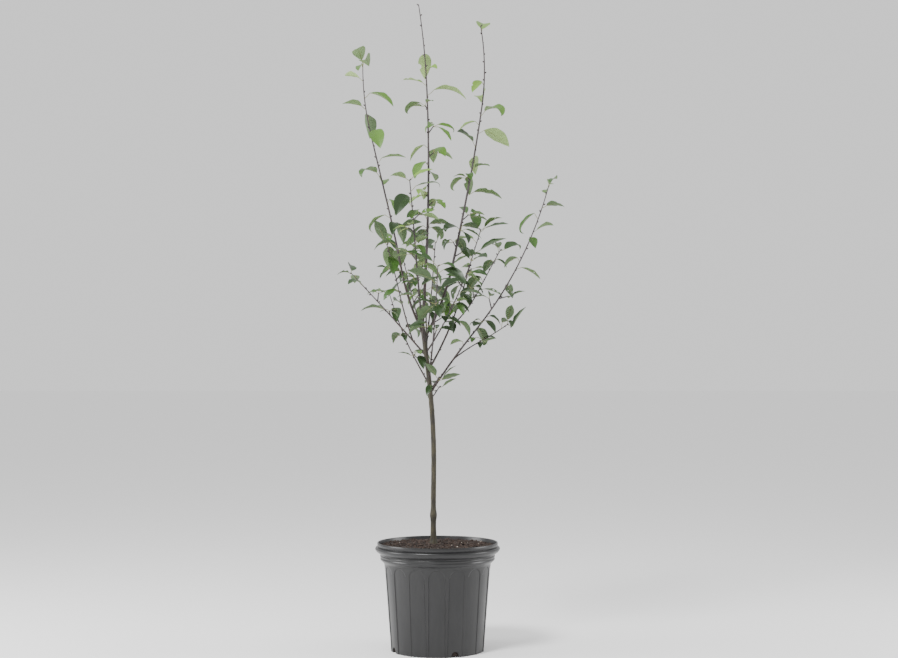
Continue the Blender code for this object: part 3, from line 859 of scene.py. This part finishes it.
class Blade:
    """The detailed blade of one leaf, as a closed thin mesh."""

    NARROWEST = 0.0004
    HOLE_COUNT = (2, 4)
    HOLE_ALONG = (0.2, 0.8)
    HOLE_ACROSS = (0.25, 0.6)
    HOLE_RADIUS = (0.13, 0.26)
    BITE_ALONG = (0.3, 0.8)
    BITE_ACROSS = 0.95
    BITE_RADIUS = (0.3, 0.5)
    DRAWN_TO_RIM = (0.55, 1.3)
    OPEN_WITHIN = 0.9

    def __init__(self, leaf: Leaf, damage: Damage, rng: random.Random, size: BladeSize) -> None:
        """Lays out the blade.

        Args:
            leaf: the leaf.
            damage: what has happened to it.
            rng: random draws for its small shapes.
            size: its fineness.
        """
        self.leaf, self.damage, self.size = leaf, damage, size
        self.phase = rng.uniform(0, math.tau)
        self.holes = self.draw_holes(rng)
        self.spine = self.draw_spine()

    def draw_holes(self, rng: random.Random) -> list[tuple[float, float, float]]:
        """Places the holes.

        Args:
            rng: random draws.

        Returns:
            Centres as share along and metres across, and radii.
        """
        half = self.leaf.width / 2
        if self.damage is Damage.HOLES:
            return [(rng.uniform(*self.HOLE_ALONG),
                     rng.choice((-1, 1)) * half * rng.uniform(*self.HOLE_ACROSS),
                     half * rng.uniform(*self.HOLE_RADIUS)) for _ in range(rng.randint(*self.HOLE_COUNT))]
        if self.damage is Damage.BITTEN:
            return [(rng.uniform(*self.BITE_ALONG), rng.choice((-1, 1)) * half * self.BITE_ACROSS,
                     half * rng.uniform(*self.BITE_RADIUS))]
        return []

    def draw_spine(self) -> list[tuple[Vector, Vector]]:
        """Follows the midrib, with the tip curled under where it is damaged so.

        Returns:
            Point and direction for every row.
        """
        leaf, rows, curl_from = self.leaf, self.size.rows, self.size.curl_from
        point, spine = leaf.base.copy(), []
        for i in range(rows + 1):
            share = i / rows
            angle = leaf.lift - leaf.arch * share
            if self.damage is Damage.CURLED:
                angle -= self.size.curl * max(0, (share - curl_from) / (1 - curl_from)) ** 2
            ahead = leaf.heading * math.cos(angle) + UP * math.sin(angle)
            spine.append((point.copy(), ahead))
            point += ahead * (leaf.length / rows)
        return spine

    def half_width(self, row: int) -> float:
        """Half the blade's width at a row, without its teeth."""
        return max(self.NARROWEST, self.leaf.width / 2 * blade_half_width(row / self.size.rows))

    def spot(self, row: int, column: int) -> tuple[float, float]:
        """Place of a grid point, drawn onto the rim of a hole where it is on one.

        Args:
            row: row of the grid.
            column: column of the grid.

        Returns:
            Share along and metres across.
        """
        size, columns = self.size, 2 * self.size.half_columns
        share, across = row / size.rows, self.half_width(row) * (2 * column / columns - 1)
        if column in (0, columns) and size.toothless_rows < row < size.rows - 1:
            across *= 1 + size.tooth * (row % 2 * 2 - 1)
        inner, outer = self.DRAWN_TO_RIM
        for hole_share, hole_across, radius in self.holes:
            along, side = (share - hole_share) * self.leaf.length, across - hole_across
            far = math.hypot(along, side)
            if inner * radius < far < outer * radius:
                share = hole_share + along / far * radius / self.leaf.length
                across = hole_across + side / far * radius
        return share, across

    def is_open(self, row: int, column: int) -> bool:
        """Tells whether a cell is outside the blade or in a hole.

        Args:
            row: row of its first corner.
            column: column of its first corner.

        Returns:
            True where the cell has no surface.
        """
        rows, columns = self.size.rows, 2 * self.size.half_columns
        if not (0 <= row < rows and 0 <= column < columns):
            return True
        share = (row + 0.5) / rows
        across = (self.half_width(row) + self.half_width(row + 1)) / 2 * ((2 * column + 1) / columns - 1)
        return any(math.hypot((share - middle) * self.leaf.length, across - side) < self.OPEN_WITHIN * radius
                   for middle, side, radius in self.holes)

    def place(self, share: float, across: float) -> tuple[Vector, Vector]:
        """Turns a place on the blade into space.

        Args:
            share: share along the blade.
            across: metres from the midrib.

        Returns:
            The middle of the blade there, and its upward direction.
        """
        leaf, size = self.leaf, self.size
        row = min(max(share, 0), 1) * size.rows
        low = min(int(row), size.rows - 1)
        point = self.spine[low][0].lerp(self.spine[low + 1][0], row - low)
        ahead = self.spine[low][1].lerp(self.spine[low + 1][1], row - low).normalized()
        side, top = leaf.sides(ahead)
        half = leaf.width / 2
        margin = abs(across) / half
        lift = margin**size.fold_power * half * math.sin(leaf.fold)
        wave = math.sin(share * size.wave_turn + self.phase + math.copysign(1, across))
        lift += size.wave * leaf.length * margin**2 * wave
        ripple = math.cos(math.tau * (share * size.veins - size.vein_slant * margin))
        lift -= size.vein / 2 * leaf.length * ripple * min(1, size.vein_fade * margin)
        return point + side * (across * math.cos(leaf.fold)) + top * lift, top

    def shape(self, builder: MeshBuilder) -> None:
        """Adds the blade, with its upper side in slot 0 and the rest in slot 1.

        Args:
            builder: the piece that it joins.
        """
        size, columns = self.size, 2 * self.size.half_columns
        points: list[Vector] = []
        index: dict[tuple[int, int], int] = {}

        def corner(row: int, column: int) -> int:
            """Makes a corner of the grid once.

            Args:
                row: row of the grid.
                column: column of the grid.

            Returns:
                Number of its upper point. The lower one is the next.
            """
            if (row, column) not in index:
                middle, top = self.place(*self.spot(row, column))
                margin = abs(2 * column / columns - 1)
                half = self.leaf.length * size.thickness / 2 * (1 - size.thinning * margin)
                index[row, column] = len(points)
                points.extend([middle + top * half, middle - top * half])
            return index[row, column]

        upper: list[tuple[int, ...]] = []
        lower: list[tuple[int, ...]] = []
        for row in range(size.rows):
            for column in range(columns):
                if self.is_open(row, column):
                    continue
                ring = [corner(row, column), corner(row, column + 1), corner(row + 1, column + 1),
                        corner(row + 1, column)]
                upper.append(tuple(ring))
                # Both sides are split along the same diagonal, so that they never cross.
                lower.append((ring[2] + 1, ring[1] + 1, ring[0] + 1, ring[3] + 1))
                beyond = ((row - 1, column), (row, column + 1), (row + 1, column), (row, column - 1))
                for side, cell in enumerate(beyond):
                    if self.is_open(*cell):
                        start, end = ring[side], ring[(side + 1) % 4]
                        lower.append((end, start, start + 1, end + 1))
        builder.add(points, upper + lower, [0] * len(upper) + [1] * len(lower))


class Foliage:
    """Every leaf with its petiole, dealt out by tint."""

    SEED = 5
    SHARES = ((Damage.HOLES, 0.12), (Damage.BITTEN, 0.09), (Damage.CURLED, 0.12))
    TINT_FROM = 0.75
    TINT_SPAN = 0.85
    TINT_SCATTER = 0.26
    TINT_STEPS = 4.2
    TINT_START = 0.9
    PETIOLE_RADII = (0.0008, 0.0007, 0.00066, 0.00064, 0.00064, 0.00066, 0.0007)
    PETIOLE_SAG = 0.06
    PETIOLE_SIDES = 6
    MIDRIB_STEPS = 9
    MIDRIB_RADIUS = 0.0006
    MIDRIB_DROP = 0.0002
    UPPER_ROUGHNESS = 0.42
    UNDER_ROUGHNESS = 0.62

    def __init__(self, sprigs: Sequence[Sprig], size: BladeSize) -> None:
        """Deals out the sprigs.

        Args:
            sprigs: what has grown.
            size: fineness of the blades.
        """
        self.sprigs, self.size = sprigs, size
        self.rng = random.Random(self.SEED)

    def tint(self, height: float) -> Tint:
        """Picks a spray's tint: lighter and yellower towards the top.

        Args:
            height: metres above the ground.

        Returns:
            The tint.
        """
        place = (height - self.TINT_FROM) / self.TINT_SPAN + self.rng.gauss(0, self.TINT_SCATTER)
        order = list(Tint)
        return order[min(max(int(place * self.TINT_STEPS + self.TINT_START), 0), len(order) - 1)]

    def damage(self) -> Damage:
        """Picks what has happened to one leaf.

        Returns:
            The damage.
        """
        draw = self.rng.random()
        for damage, share in self.SHARES:
            if draw < share:
                return damage
            draw -= share
        return Damage.NONE

    def petiole(self, leaf: Leaf, builder: MeshBuilder) -> None:
        """Adds a leaf's petiole, which runs on under the blade as its midrib.

        Args:
            leaf: the leaf.
            builder: the piece that it joins.
        """
        reach = leaf.base - leaf.root
        radii = list(self.PETIOLE_RADII)
        last = len(radii) - 1
        sag = UP * (-self.PETIOLE_SAG * reach.length)
        shares = [i / last for i in range(last + 1)]
        course = [leaf.root + reach * share + sag * math.sin(math.pi * share) for share in shares]
        blade = Blade(leaf, Damage.NONE, random.Random(0), self.size)
        for i in range(1, self.MIDRIB_STEPS - 1):
            point, _ = blade.place(i / self.MIDRIB_STEPS, 0)
            course.append(point - UP * self.MIDRIB_DROP)
            radii.append(self.MIDRIB_RADIUS * (1 - i / self.MIDRIB_STEPS))
        builder.add_skin(skin_rings(course, lambda i, _: radii[i], self.PETIOLE_SIDES))

    def build(self) -> None:
        """Makes the pieces: the petioles, and the blades of each tint."""
        blades = {tint: MeshBuilder() for tint in Tint}
        petioles = MeshBuilder()
        for sprig in self.sprigs:
            if not sprig.leaves:
                continue
            tint = self.tint(sprig.leaves[0].base.z)
            for leaf in sprig.leaves:
                Blade(leaf, self.damage(), self.rng, self.size).shape(blades[tint])
                self.petiole(leaf, petioles)
        petioles.build("petioles", "foliage", [PETIOLE_FINISH])
        for tint, builder in blades.items():
            label, (upper, under) = tint.name.lower(), tint.value
            sides = [Finish(f"leaf_{label}_upper", upper, upper, self.UPPER_ROUGHNESS),
                     Finish(f"leaf_{label}_under", under, under, self.UNDER_ROUGHNESS)]
            builder.build(f"leaves_{label}", "foliage", sides, sharp=50)


@dataclass
class BarkSize:
    """Fineness and depths of the bark's relief, in metres."""

    trunk_step: float = 0.0016
    trunk_sides: int = 56
    bough_step: float = 0.0024
    bough_sides: int = 24
    stem_step: float = 0.005
    stem_sides: int = 10
    bough_share: float = 0.6
    stem_share: float = 0.25
    relief: float = 0.0004
    long_relief: float = 0.00028
    pore: float = 0.0006
    pore_from: float = 0.25
    scars: tuple[tuple[float, float, float], ...] = (
        (0.235, 4.6, 0.0011), (0.165, 4.3, 0.0009), (0.33, 5.2, 0.001))
    scar_across: float = 0.0028
    scar_along: float = 0.0042
    scar_reach: float = 0.0065


class Wood:
    """The trunk, the boughs, and the twigs that bear the leaves."""

    SEED = 3
    SEED_STEP = 0.37
    LUMPS = (2.2, 90)
    RIDGES = (5, 34)
    PORES = (3, 420)
    BUD_SHAPE = ((0, 0.2), (0.3, 0.3), (0.55, 0.31), (0.85, 0.2), (1.1, 0.03))
    BUD_LEAN = 0.75
    BUD_SIDES = 7
    BUD_LENGTH = 0.0062
    TIP_BUD_LENGTH = 0.006
    BUD_SPACING = (0.018, 0.034)
    BUDS_FROM = 0.4
    BUDS_END = 0.01
    TIP_BUD_SINK = 0.001
    SPUR_STEPS = 8
    SPUR_KNOT = 0.16

    def __init__(self, limbs: dict[str, Limb], sprigs: Sequence[Sprig], size: BarkSize) -> None:
        """Takes what has grown.

        Args:
            limbs: every limb by name.
            sprigs: every sprig.
            size: fineness of the bark.
        """
        self.limbs, self.sprigs, self.size = limbs, sprigs, size

    @staticmethod
    def grain(distance: float, turn: float, seed: float, pattern: tuple[float, float]) -> float:
        """Reads a pattern of the bark, given how fine it is round the limb and along it."""
        across, along = pattern
        return noise.noise(polar(across, turn, distance * along + seed))

    def relief(self, distance: float, turn: float, seed: float) -> float:
        """Gives the bark's relief.

        Args:
            distance: metres along the limb.
            turn: angle round it.
            seed: moves the pattern.

        Returns:
            Metres outwards.
        """
        size = self.size
        lumps, ridges, pores = (self.grain(distance, turn, seed, pattern)
                                for pattern in (self.LUMPS, self.RIDGES, self.PORES))
        return size.relief * lumps + size.long_relief * ridges + size.pore * max(0, pores - size.pore_from)

    def skin(self, name: str, start: float, end: float, step: float, sides: int,
             share: float = 1) -> Rings:
        """Rings of a limb with its relief.

        Args:
            name: the limb.
            start: metres along it.
            end: metres along it.
            step: metres between rings.
            sides: points per ring.
            share: how much of the full relief it has.

        Returns:
            The rings.
        """
        size, limb = self.size, self.limbs[name]
        count = max(2, round((end - start) / step))
        spots = [start + (end - start) * i / count for i in range(count + 1)]
        seed = sum(map(ord, name)) * self.SEED_STEP
        scars = size.scars if name == "trunk" else ()

        def radius(i: int, turn: float) -> float:
            """Gives the radius with relief and scars.

            Args:
                i: number of the ring.
                turn: angle round the limb.

            Returns:
                Metres from the middle.
            """
            made = limb.radius(spots[i]) + share * self.relief(spots[i], turn, seed)
            for height, side, depth in scars:
                across = math.remainder(turn - side, math.tau) * size.scar_reach / size.scar_across
                made += depth * math.exp(-(across**2) - ((spots[i] - height) / size.scar_along) ** 2)
            return made

        return skin_rings([limb.at(s) for s in spots], radius, sides)

    def bud(self, root: Vector, axis: Vector, turn: float, length: float, builder: MeshBuilder) -> None:
        """Adds a pointed bud.

        Args:
            root: middle of the stem there.
            axis: direction of the stem.
            turn: side of the stem, in radians.
            length: metres.
            builder: the piece that it joins.
        """
        ahead = (axis * self.BUD_LEAN + outward(axis, turn)).normalized()
        course = [root + ahead * (length * along) for along, _ in self.BUD_SHAPE]
        radii = [length * radius for _, radius in self.BUD_SHAPE]
        builder.add_skin(skin_rings(course, lambda i, _: radii[i], self.BUD_SIDES))

    def trunk(self) -> None:
        """Makes the trunk."""
        builder = MeshBuilder()
        builder.add_skin(self.skin("trunk", 0, TRUNK_LENGTH, self.size.trunk_step, self.size.trunk_sides))
        builder.build("trunk_with_bark", "trunk_bark", [TRUNK_FINISH], ["trunk"])

    def boughs(self) -> None:
        """Makes the boughs."""
        size, builder = self.size, MeshBuilder()
        bearing = [name for name, shoot in SHOOTS.items() if shoot.bare]
        for name in bearing:
            builder.add_skin(self.skin(name, 0, SHOOTS[name].bare, size.bough_step, size.bough_sides,
                                       size.bough_share))
        builder.build("boughs_with_bark", "bough_bark", [BOUGH_FINISH], [f"bough_{name}" for name in bearing])

    def buds(self, name: str, rng: random.Random, builder: MeshBuilder) -> None:
        """Adds the buds along a shoot and at its tip.

        Args:
            name: the shoot.
            rng: random draws.
            builder: the piece that they join.
        """
        shoot, limb = SHOOTS[name], self.limbs[name]
        distance, turn = shoot.bare * self.BUDS_FROM, rng.uniform(0, 6)
        while distance < shoot.length - self.BUDS_END:
            self.bud(limb.at(distance), limb.ahead(distance), turn, self.BUD_LENGTH, builder)
            distance += rng.uniform(*self.BUD_SPACING)
            turn += math.radians(LEAF_TURN)
        tip = limb.at(shoot.length - self.TIP_BUD_SINK)
        self.bud(tip, limb.ahead(shoot.length), turn, self.TIP_BUD_LENGTH, builder)

    def spur(self, spur: Spur, builder: MeshBuilder) -> None:
        """Adds a knotted spur.

        Args:
            spur: the spur.
            builder: the piece that it joins.
        """
        shares = [i / self.SPUR_STEPS for i in range(self.SPUR_STEPS + 1)]
        course = [spur.root + (spur.tip - spur.root) * share for share in shares]
        radii = [between(SPUR_RADII, share) * (1 + self.SPUR_KNOT * (i % 2))
                 for i, share in enumerate(shares)]
        builder.add_skin(skin_rings(course, lambda i, _: radii[i], self.SPUR_STEPS))

    def twigs(self) -> None:
        """Makes the stems, the buds and the spurs."""
        size, builder, rng = self.size, MeshBuilder(), random.Random(self.SEED)
        for name, shoot in SHOOTS.items():
            builder.add_skin(self.skin(name, shoot.bare, shoot.length, size.stem_step, size.stem_sides,
                                       size.stem_share))
            self.buds(name, rng, builder)
        for sprig in self.sprigs:
            if sprig.spur:
                self.spur(sprig.spur, builder)
        builder.build("twigs", "foliage", [TWIG_FINISH], [f"foliage_{name}" for name in SHOOTS])


@dataclass
class PotSize:
    """Sizes of the pot, in metres and degrees."""

    rim: tuple[tuple[float, float], ...] = (
        (0.1332, 0.2175), (0.1362, 0.2196), (0.1385, 0.2222), (0.1404, 0.2236), (0.1413, 0.2252),
        (0.1423, 0.2268), (0.1423, 0.2282), (0.1413, 0.2298), (0.1413, 0.2316), (0.1426, 0.2334),
        (0.1426, 0.2351), (0.1415, 0.2366), (0.1418, 0.238), (0.1432, 0.2396), (0.1468, 0.2418),
        (0.1505, 0.2445), (0.1536, 0.248), (0.155, 0.2515), (0.1547, 0.254), (0.1535, 0.2558),
        (0.1512, 0.2566), (0.1488, 0.2572), (0.1491, 0.259), (0.1497, 0.2605), (0.1499, 0.2655),
        (0.1494, 0.2673), (0.1483, 0.268), (0.147, 0.2676), (0.1464, 0.266), (0.1458, 0.2575))
    inner: tuple[tuple[float, float], ...] = (
        (0.1384, 0.2385), (0.1374, 0.2235), (0.128, 0.2165), (0.1118, 0.003))
    foot: float = 0.116
    body_top: float = 0.1322
    body_height: float = 0.2165
    flutes: int = 16
    turn: float = -0.75
    panel: float = 0.041
    depth: float = 0.0016
    top: float = 0.2128
    edge: float = 0.0011
    rib_clear: float = 0.001
    panel_columns: int = 24
    rib_columns: int = 4
    foot_draw: float = 0.0008
    foot_rows: tuple[float, ...] = (0.0006, 0.0016, 0.006)
    body_rows: int = 12
    arch_rows: int = 26
    drains: int = 4
    drain_width: float = 0.018
    drain_height: float = 0.014
    drain_reach: float = 0.012
    drain_end: float = 0.15
    drain_below: float = 0.01
    drain_columns: int = 16


class Pot:
    """The fluted pot."""

    def __init__(self, size: PotSize) -> None:
        """Takes the sizes."""
        self.size = size

    def wall(self, height: float) -> float:
        """Outer radius of the tapering body."""
        size = self.size
        return size.foot + (size.body_top - size.foot) * height / size.body_height

    def depth(self, across: float, height: float) -> float:
        """Depth of a flute.

        Args:
            across: metres from its middle.
            height: metres above the ground.

        Returns:
            How far the wall lies back there.
        """
        size, half = self.size, self.size.panel / 2
        spring = size.top - half
        off = math.hypot(across, height - spring) - half if height > spring else abs(across) - half
        share = min(max(-off / size.edge, 0), 1)
        return size.depth * share * share * (3 - 2 * share)

    def columns(self, height: float) -> list[tuple[float, float]]:
        """Columns of the mesh at a height.

        Args:
            height: metres above the ground.

        Returns:
            Angle, and metres from the middle of its flute, for every column.
        """
        size, half, radius = self.size, self.size.panel / 2, self.wall(height)
        flat = [(half - size.edge) * (2 * i / size.panel_columns - 1)
                for i in range(size.panel_columns + 1)]
        across = [-half, *flat, half]
        pitch = math.tau / size.flutes
        made = []
        for k in range(size.flutes):
            middle = math.radians(size.turn - 90) + k * pitch
            made += [(middle + side / radius, side) for side in across]
            edge = half / radius
            made += [(middle + edge + (pitch - 2 * edge) * i / size.rib_columns, half + size.rib_clear)
                     for i in range(1, size.rib_columns)]
        return made

    def ring(self, radius: float, height: float, fluted: bool = False) -> list[Vector]:
        """A ring of the mesh.

        Args:
            radius: metres.
            height: metres.
            fluted: whether the flutes lie back in it.

        Returns:
            Its points.
        """
        made = []
        for turn, across in self.columns(min(height, self.size.top) if fluted else self.size.top):
            reach = radius - (self.depth(across, height) if fluted else 0)
            made.append(polar(reach, turn, height))
        return made

    def build(self) -> None:
        """Makes the pot."""
        size = self.size
        spring, crest = size.top - size.panel / 2, size.top + size.rib_clear
        rows = [*size.foot_rows, *[spring * i / size.body_rows for i in range(1, size.body_rows)]]
        rows += [spring + (crest - spring) * i / size.arch_rows for i in range(size.arch_rows + 1)]
        rings = [self.ring(self.wall(0) - size.foot_draw, 0, True)]
        rings += [self.ring(self.wall(height), height, True) for height in rows]
        rings += [self.ring(radius, height) for radius, height in (*size.rim, *size.inner)]
        builder = MeshBuilder()
        builder.add_skin(rings)
        self.cut_drains(builder.build("fluted_pot", "pot_plastic", [POT_FINISH], ["pot"], 40))

    def drain_rings(self, turn: float) -> Rings:
        """Shapes the cutter of one drain notch.

        Args:
            turn: angle at which it lies, in radians.

        Returns:
            Its arched outline inside the wall and outside it.
        """
        size = self.size
        ahead = polar(1, turn)
        side = UP.cross(ahead)
        half = size.drain_width / 2
        angles = [math.pi * i / size.drain_columns for i in range(size.drain_columns + 1)]
        outline = [(-half, -size.drain_below), (half, -size.drain_below)]
        outline += [(half * math.cos(a), size.drain_height - half + half * math.sin(a)) for a in angles]
        return [[ahead * reach + side * x + UP * z for x, z in outline]
                for reach in (size.foot - size.drain_reach, size.drain_end)]

    def cut_drains(self, made: bpy.types.Object) -> None:
        """Cuts the drain notches through the foot.

        Args:
            made: the pot.
        """
        size, cutters = self.size, MeshBuilder()
        for k in range(size.drains):
            turn = size.turn - 90 + 360 / size.flutes + 360 / size.drains * k
            cutters.add_skin(self.drain_rings(math.radians(turn)))
        mesh = bpy.data.meshes.new("drain_cutters")
        mesh.from_pydata([tuple(point) for point in cutters.points], [], cutters.faces)
        tool = bpy.data.objects.new("drain_cutters", mesh)
        bpy.context.scene.collection.objects.link(tool)
        cut = made.modifiers.new("drains", "BOOLEAN")
        cut.operation, cut.solver, cut.object = "DIFFERENCE", "EXACT", tool
        bpy.context.view_layer.update()
        result = bpy.data.meshes.new_from_object(made.evaluated_get(bpy.context.evaluated_depsgraph_get()))
        made.modifiers.clear()
        made.data = result
        bpy.data.objects.remove(tool)


@dataclass
class SoilSize:
    """Sizes of the potting mix, in metres."""

    wall: tuple[tuple[float, float], ...] = (
        (0.1112, 0.0033), (0.1274, 0.2165), (0.1368, 0.2235), (0.1378, 0.2385))
    edge: float = 0.1438
    edge_height: float = 0.2595
    crown_radius: float = 0.05
    columns: int = 160
    rows: int = 56
    drop: float = 0.0005
    rough: float = 0.0022
    lump: float = 55
    crumb: float = 160
    crumb_share: float = 0.7
    bare_edge: float = 0.006
    chips: int = 900
    chip_length: tuple[float, float] = (0.004, 0.012)
    flecks: int = 70
    fleck_length: tuple[float, float] = (0.0025, 0.005)


class Soil:
    """The potting mix: a rough crowned surface with chips of bark on it."""

    SEED = 8
    CHIP_RINGS = ((-0.5, 0.5), (-0.28, 1), (0.24, 1), (0.5, 0.45))
    CHIP_GIRTH = (0.12, 0.3)
    CHIP_SIDES = 6
    CHIP_RISE = 0.1
    CHIP_TILT = 0.25

    def __init__(self, size: SoilSize) -> None:
        """Takes the sizes."""
        self.size = size
        self.rng = random.Random(self.SEED)

    def height(self, x: float, y: float) -> float:
        """Gives the height of the surface.

        Args:
            x: metres from the axis.
            y: metres from the axis.

        Returns:
            Metres above the ground.
        """
        size, radius = self.size, math.hypot(x, y)
        share = min(max((radius - size.crown_radius) / (size.edge - size.crown_radius), 0), 1)
        lumps = noise.noise(Vector((x, y, 0)) * size.lump)
        lumps += size.crumb_share * noise.noise(Vector((x, y, 3)) * size.crumb)
        return SOIL_CROWN - size.drop + (size.edge_height - SOIL_CROWN) * share + size.rough * lumps

    def surface(self) -> None:
        """Makes the body of the mix."""
        size = self.size
        turns = [math.tau * i / size.columns for i in range(size.columns)]
        rings = [[polar(radius, turn, height) for turn in turns] for radius, height in size.wall]
        for row in range(size.rows):
            radius = size.edge * (1 - row / size.rows)
            ring = [(radius * math.cos(turn), radius * math.sin(turn)) for turn in turns]
            rings.append([Vector((x, y, self.height(x, y))) for x, y in ring])
        builder = MeshBuilder()
        builder.add_skin(rings)
        builder.build("potting_mix", "potting_mix", [SOIL_FINISH], ["soil"], 180)

    def chip(self, length: float, builder: MeshBuilder) -> None:
        """Adds one angular chip that lies on the surface.

        Args:
            length: metres.
            builder: the piece that it joins.
        """
        rng, sides = self.rng, self.CHIP_SIDES
        radius = (self.size.edge - self.size.bare_edge) * math.sqrt(rng.random())
        turn = rng.uniform(0, math.tau)
        x, y = radius * math.cos(turn), radius * math.sin(turn)
        middle = Vector((x, y, self.height(x, y) + self.CHIP_RISE * length))
        ahead = Vector((rng.gauss(0, 1), rng.gauss(0, 1), rng.gauss(0, self.CHIP_TILT))).normalized()
        course = [middle + ahead * (length * along) for along, _ in self.CHIP_RINGS]
        shape = [[length * rng.uniform(*self.CHIP_GIRTH) * share for _ in range(sides)]
                 for _, share in self.CHIP_RINGS]
        builder.add_skin(skin_rings(
            course, lambda i, angle: shape[i][round(angle / math.tau * sides) % sides], sides))

    def chips(self) -> None:
        """Makes the loose chips and flecks."""
        size = self.size
        for name, finish, count, lengths in (("bark_chips", CHIP_FINISH, size.chips, size.chip_length),
                                             ("pale_flecks", FLECK_FINISH, size.flecks, size.fleck_length)):
            builder = MeshBuilder()
            for _ in range(count):
                self.chip(self.rng.uniform(*lengths), builder)
            builder.build(name, "potting_mix", [finish], sharp=30)


class Studio:
    """The camera, the floor and the soft light."""

    EYE = Vector((0, -4.23, 0.733))
    EYE_ANGLES = (90.863, 0, -0.384)
    LENS = 68.15
    SENSOR = 36
    FLOOR_REACH = 30
    FLOOR_COLOUR = (0.95, 0.95, 0.95, 1)
    FLOOR_ROUGHNESS = 0.9
    TARGET = Vector((0, 0, 0.8))
    LIGHTS = (("key", (-1.6, -2.4, 3.2), 1.0, 190), ("left", (-2.6, -0.3, 0.9), 1.2, 45),
              ("right", (2.6, -0.1, 0.9), 1.2, 35))

    def camera(self) -> None:
        """Sets the camera in front of the tree."""
        made = bpy.data.cameras.new("camera")
        made.lens, made.sensor_width = self.LENS, self.SENSOR
        holder = bpy.data.objects.new("camera", made)
        holder.location = self.EYE
        holder.rotation_euler = [math.radians(angle) for angle in self.EYE_ANGLES]
        bpy.context.scene.collection.objects.link(holder)
        bpy.context.scene.camera = holder

    def floor(self) -> None:
        """Lays a plain pale floor."""
        mesh = bpy.data.meshes.new("floor")
        far = self.FLOOR_REACH
        mesh.from_pydata([(-far, -far, 0), (far, -far, 0), (far, far, 0), (-far, far, 0)], [], [(0, 1, 2, 3)])
        mesh.materials.append(bpy.data.materials.new("pale_floor"))
        mesh.materials[0].use_nodes = True
        shader = mesh.materials[0].node_tree.nodes["Principled BSDF"]
        shader.inputs["Base Color"].default_value = self.FLOOR_COLOUR
        shader.inputs["Roughness"].default_value = self.FLOOR_ROUGHNESS
        made = bpy.data.objects.new("floor", mesh)
        bpy.context.scene.collection.objects.link(made)
        made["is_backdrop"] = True

    def light(self, name: str, place: Vector, side: float, power: float) -> None:
        """Hangs a soft light that points at the middle of the tree.

        Args:
            name: its name.
            place: where it hangs.
            side: metres along its edge.
            power: watts.
        """
        made = bpy.data.lights.new(name, "AREA")
        made.size, made.energy = side, power
        holder = bpy.data.objects.new(name, made)
        holder.location = place
        holder.rotation_euler = (self.TARGET - place).to_track_quat("-Z", "Y").to_euler()
        bpy.context.scene.collection.objects.link(holder)

    def build(self) -> None:
        """Sets the whole studio."""
        self.camera()
        self.floor()
        for name, place, side, power in self.LIGHTS:
            self.light(name, Vector(place), side, power)
        world = bpy.data.worlds.new("studio")
        world.use_nodes = True
        world.node_tree.nodes["Background"].inputs["Color"].default_value = (1, 1, 1, 1)
        world.node_tree.nodes["Background"].inputs["Strength"].default_value = 1.0
        bpy.context.scene.world = world
        log.info("studio: camera, floor and %d lights", len(self.LIGHTS))


def write_sizes() -> None:
    """Gathers the boxes of the CAD and of the visual model as plain lists."""
    boxes = {"cad": CAD_BOX, "visual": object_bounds()}
    plain = {name: [[float(value) for value in corner] for corner in box] for name, box in boxes.items()}


def main() -> None:
    """Builds the potted tree in its studio."""
    logging.basicConfig(level=logging.INFO, format="%(name)s: %(message)s")
    Pot(PotSize()).build()
    soil = Soil(SoilSize())
    soil.surface()
    soil.chips()
    limbs = grow_limbs()
    sprigs = list(Crown(limbs).sprigs())
    log.info("grown: %d sprigs, %d leaves", len(sprigs), sum(len(sprig.leaves) for sprig in sprigs))
    wood = Wood(limbs, sprigs, BarkSize())
    wood.trunk()
    wood.boughs()
    wood.twigs()
    Foliage(sprigs, BladeSize()).build()
    Studio().build()
    write_sizes()


if __name__ == "__main__":
    main()
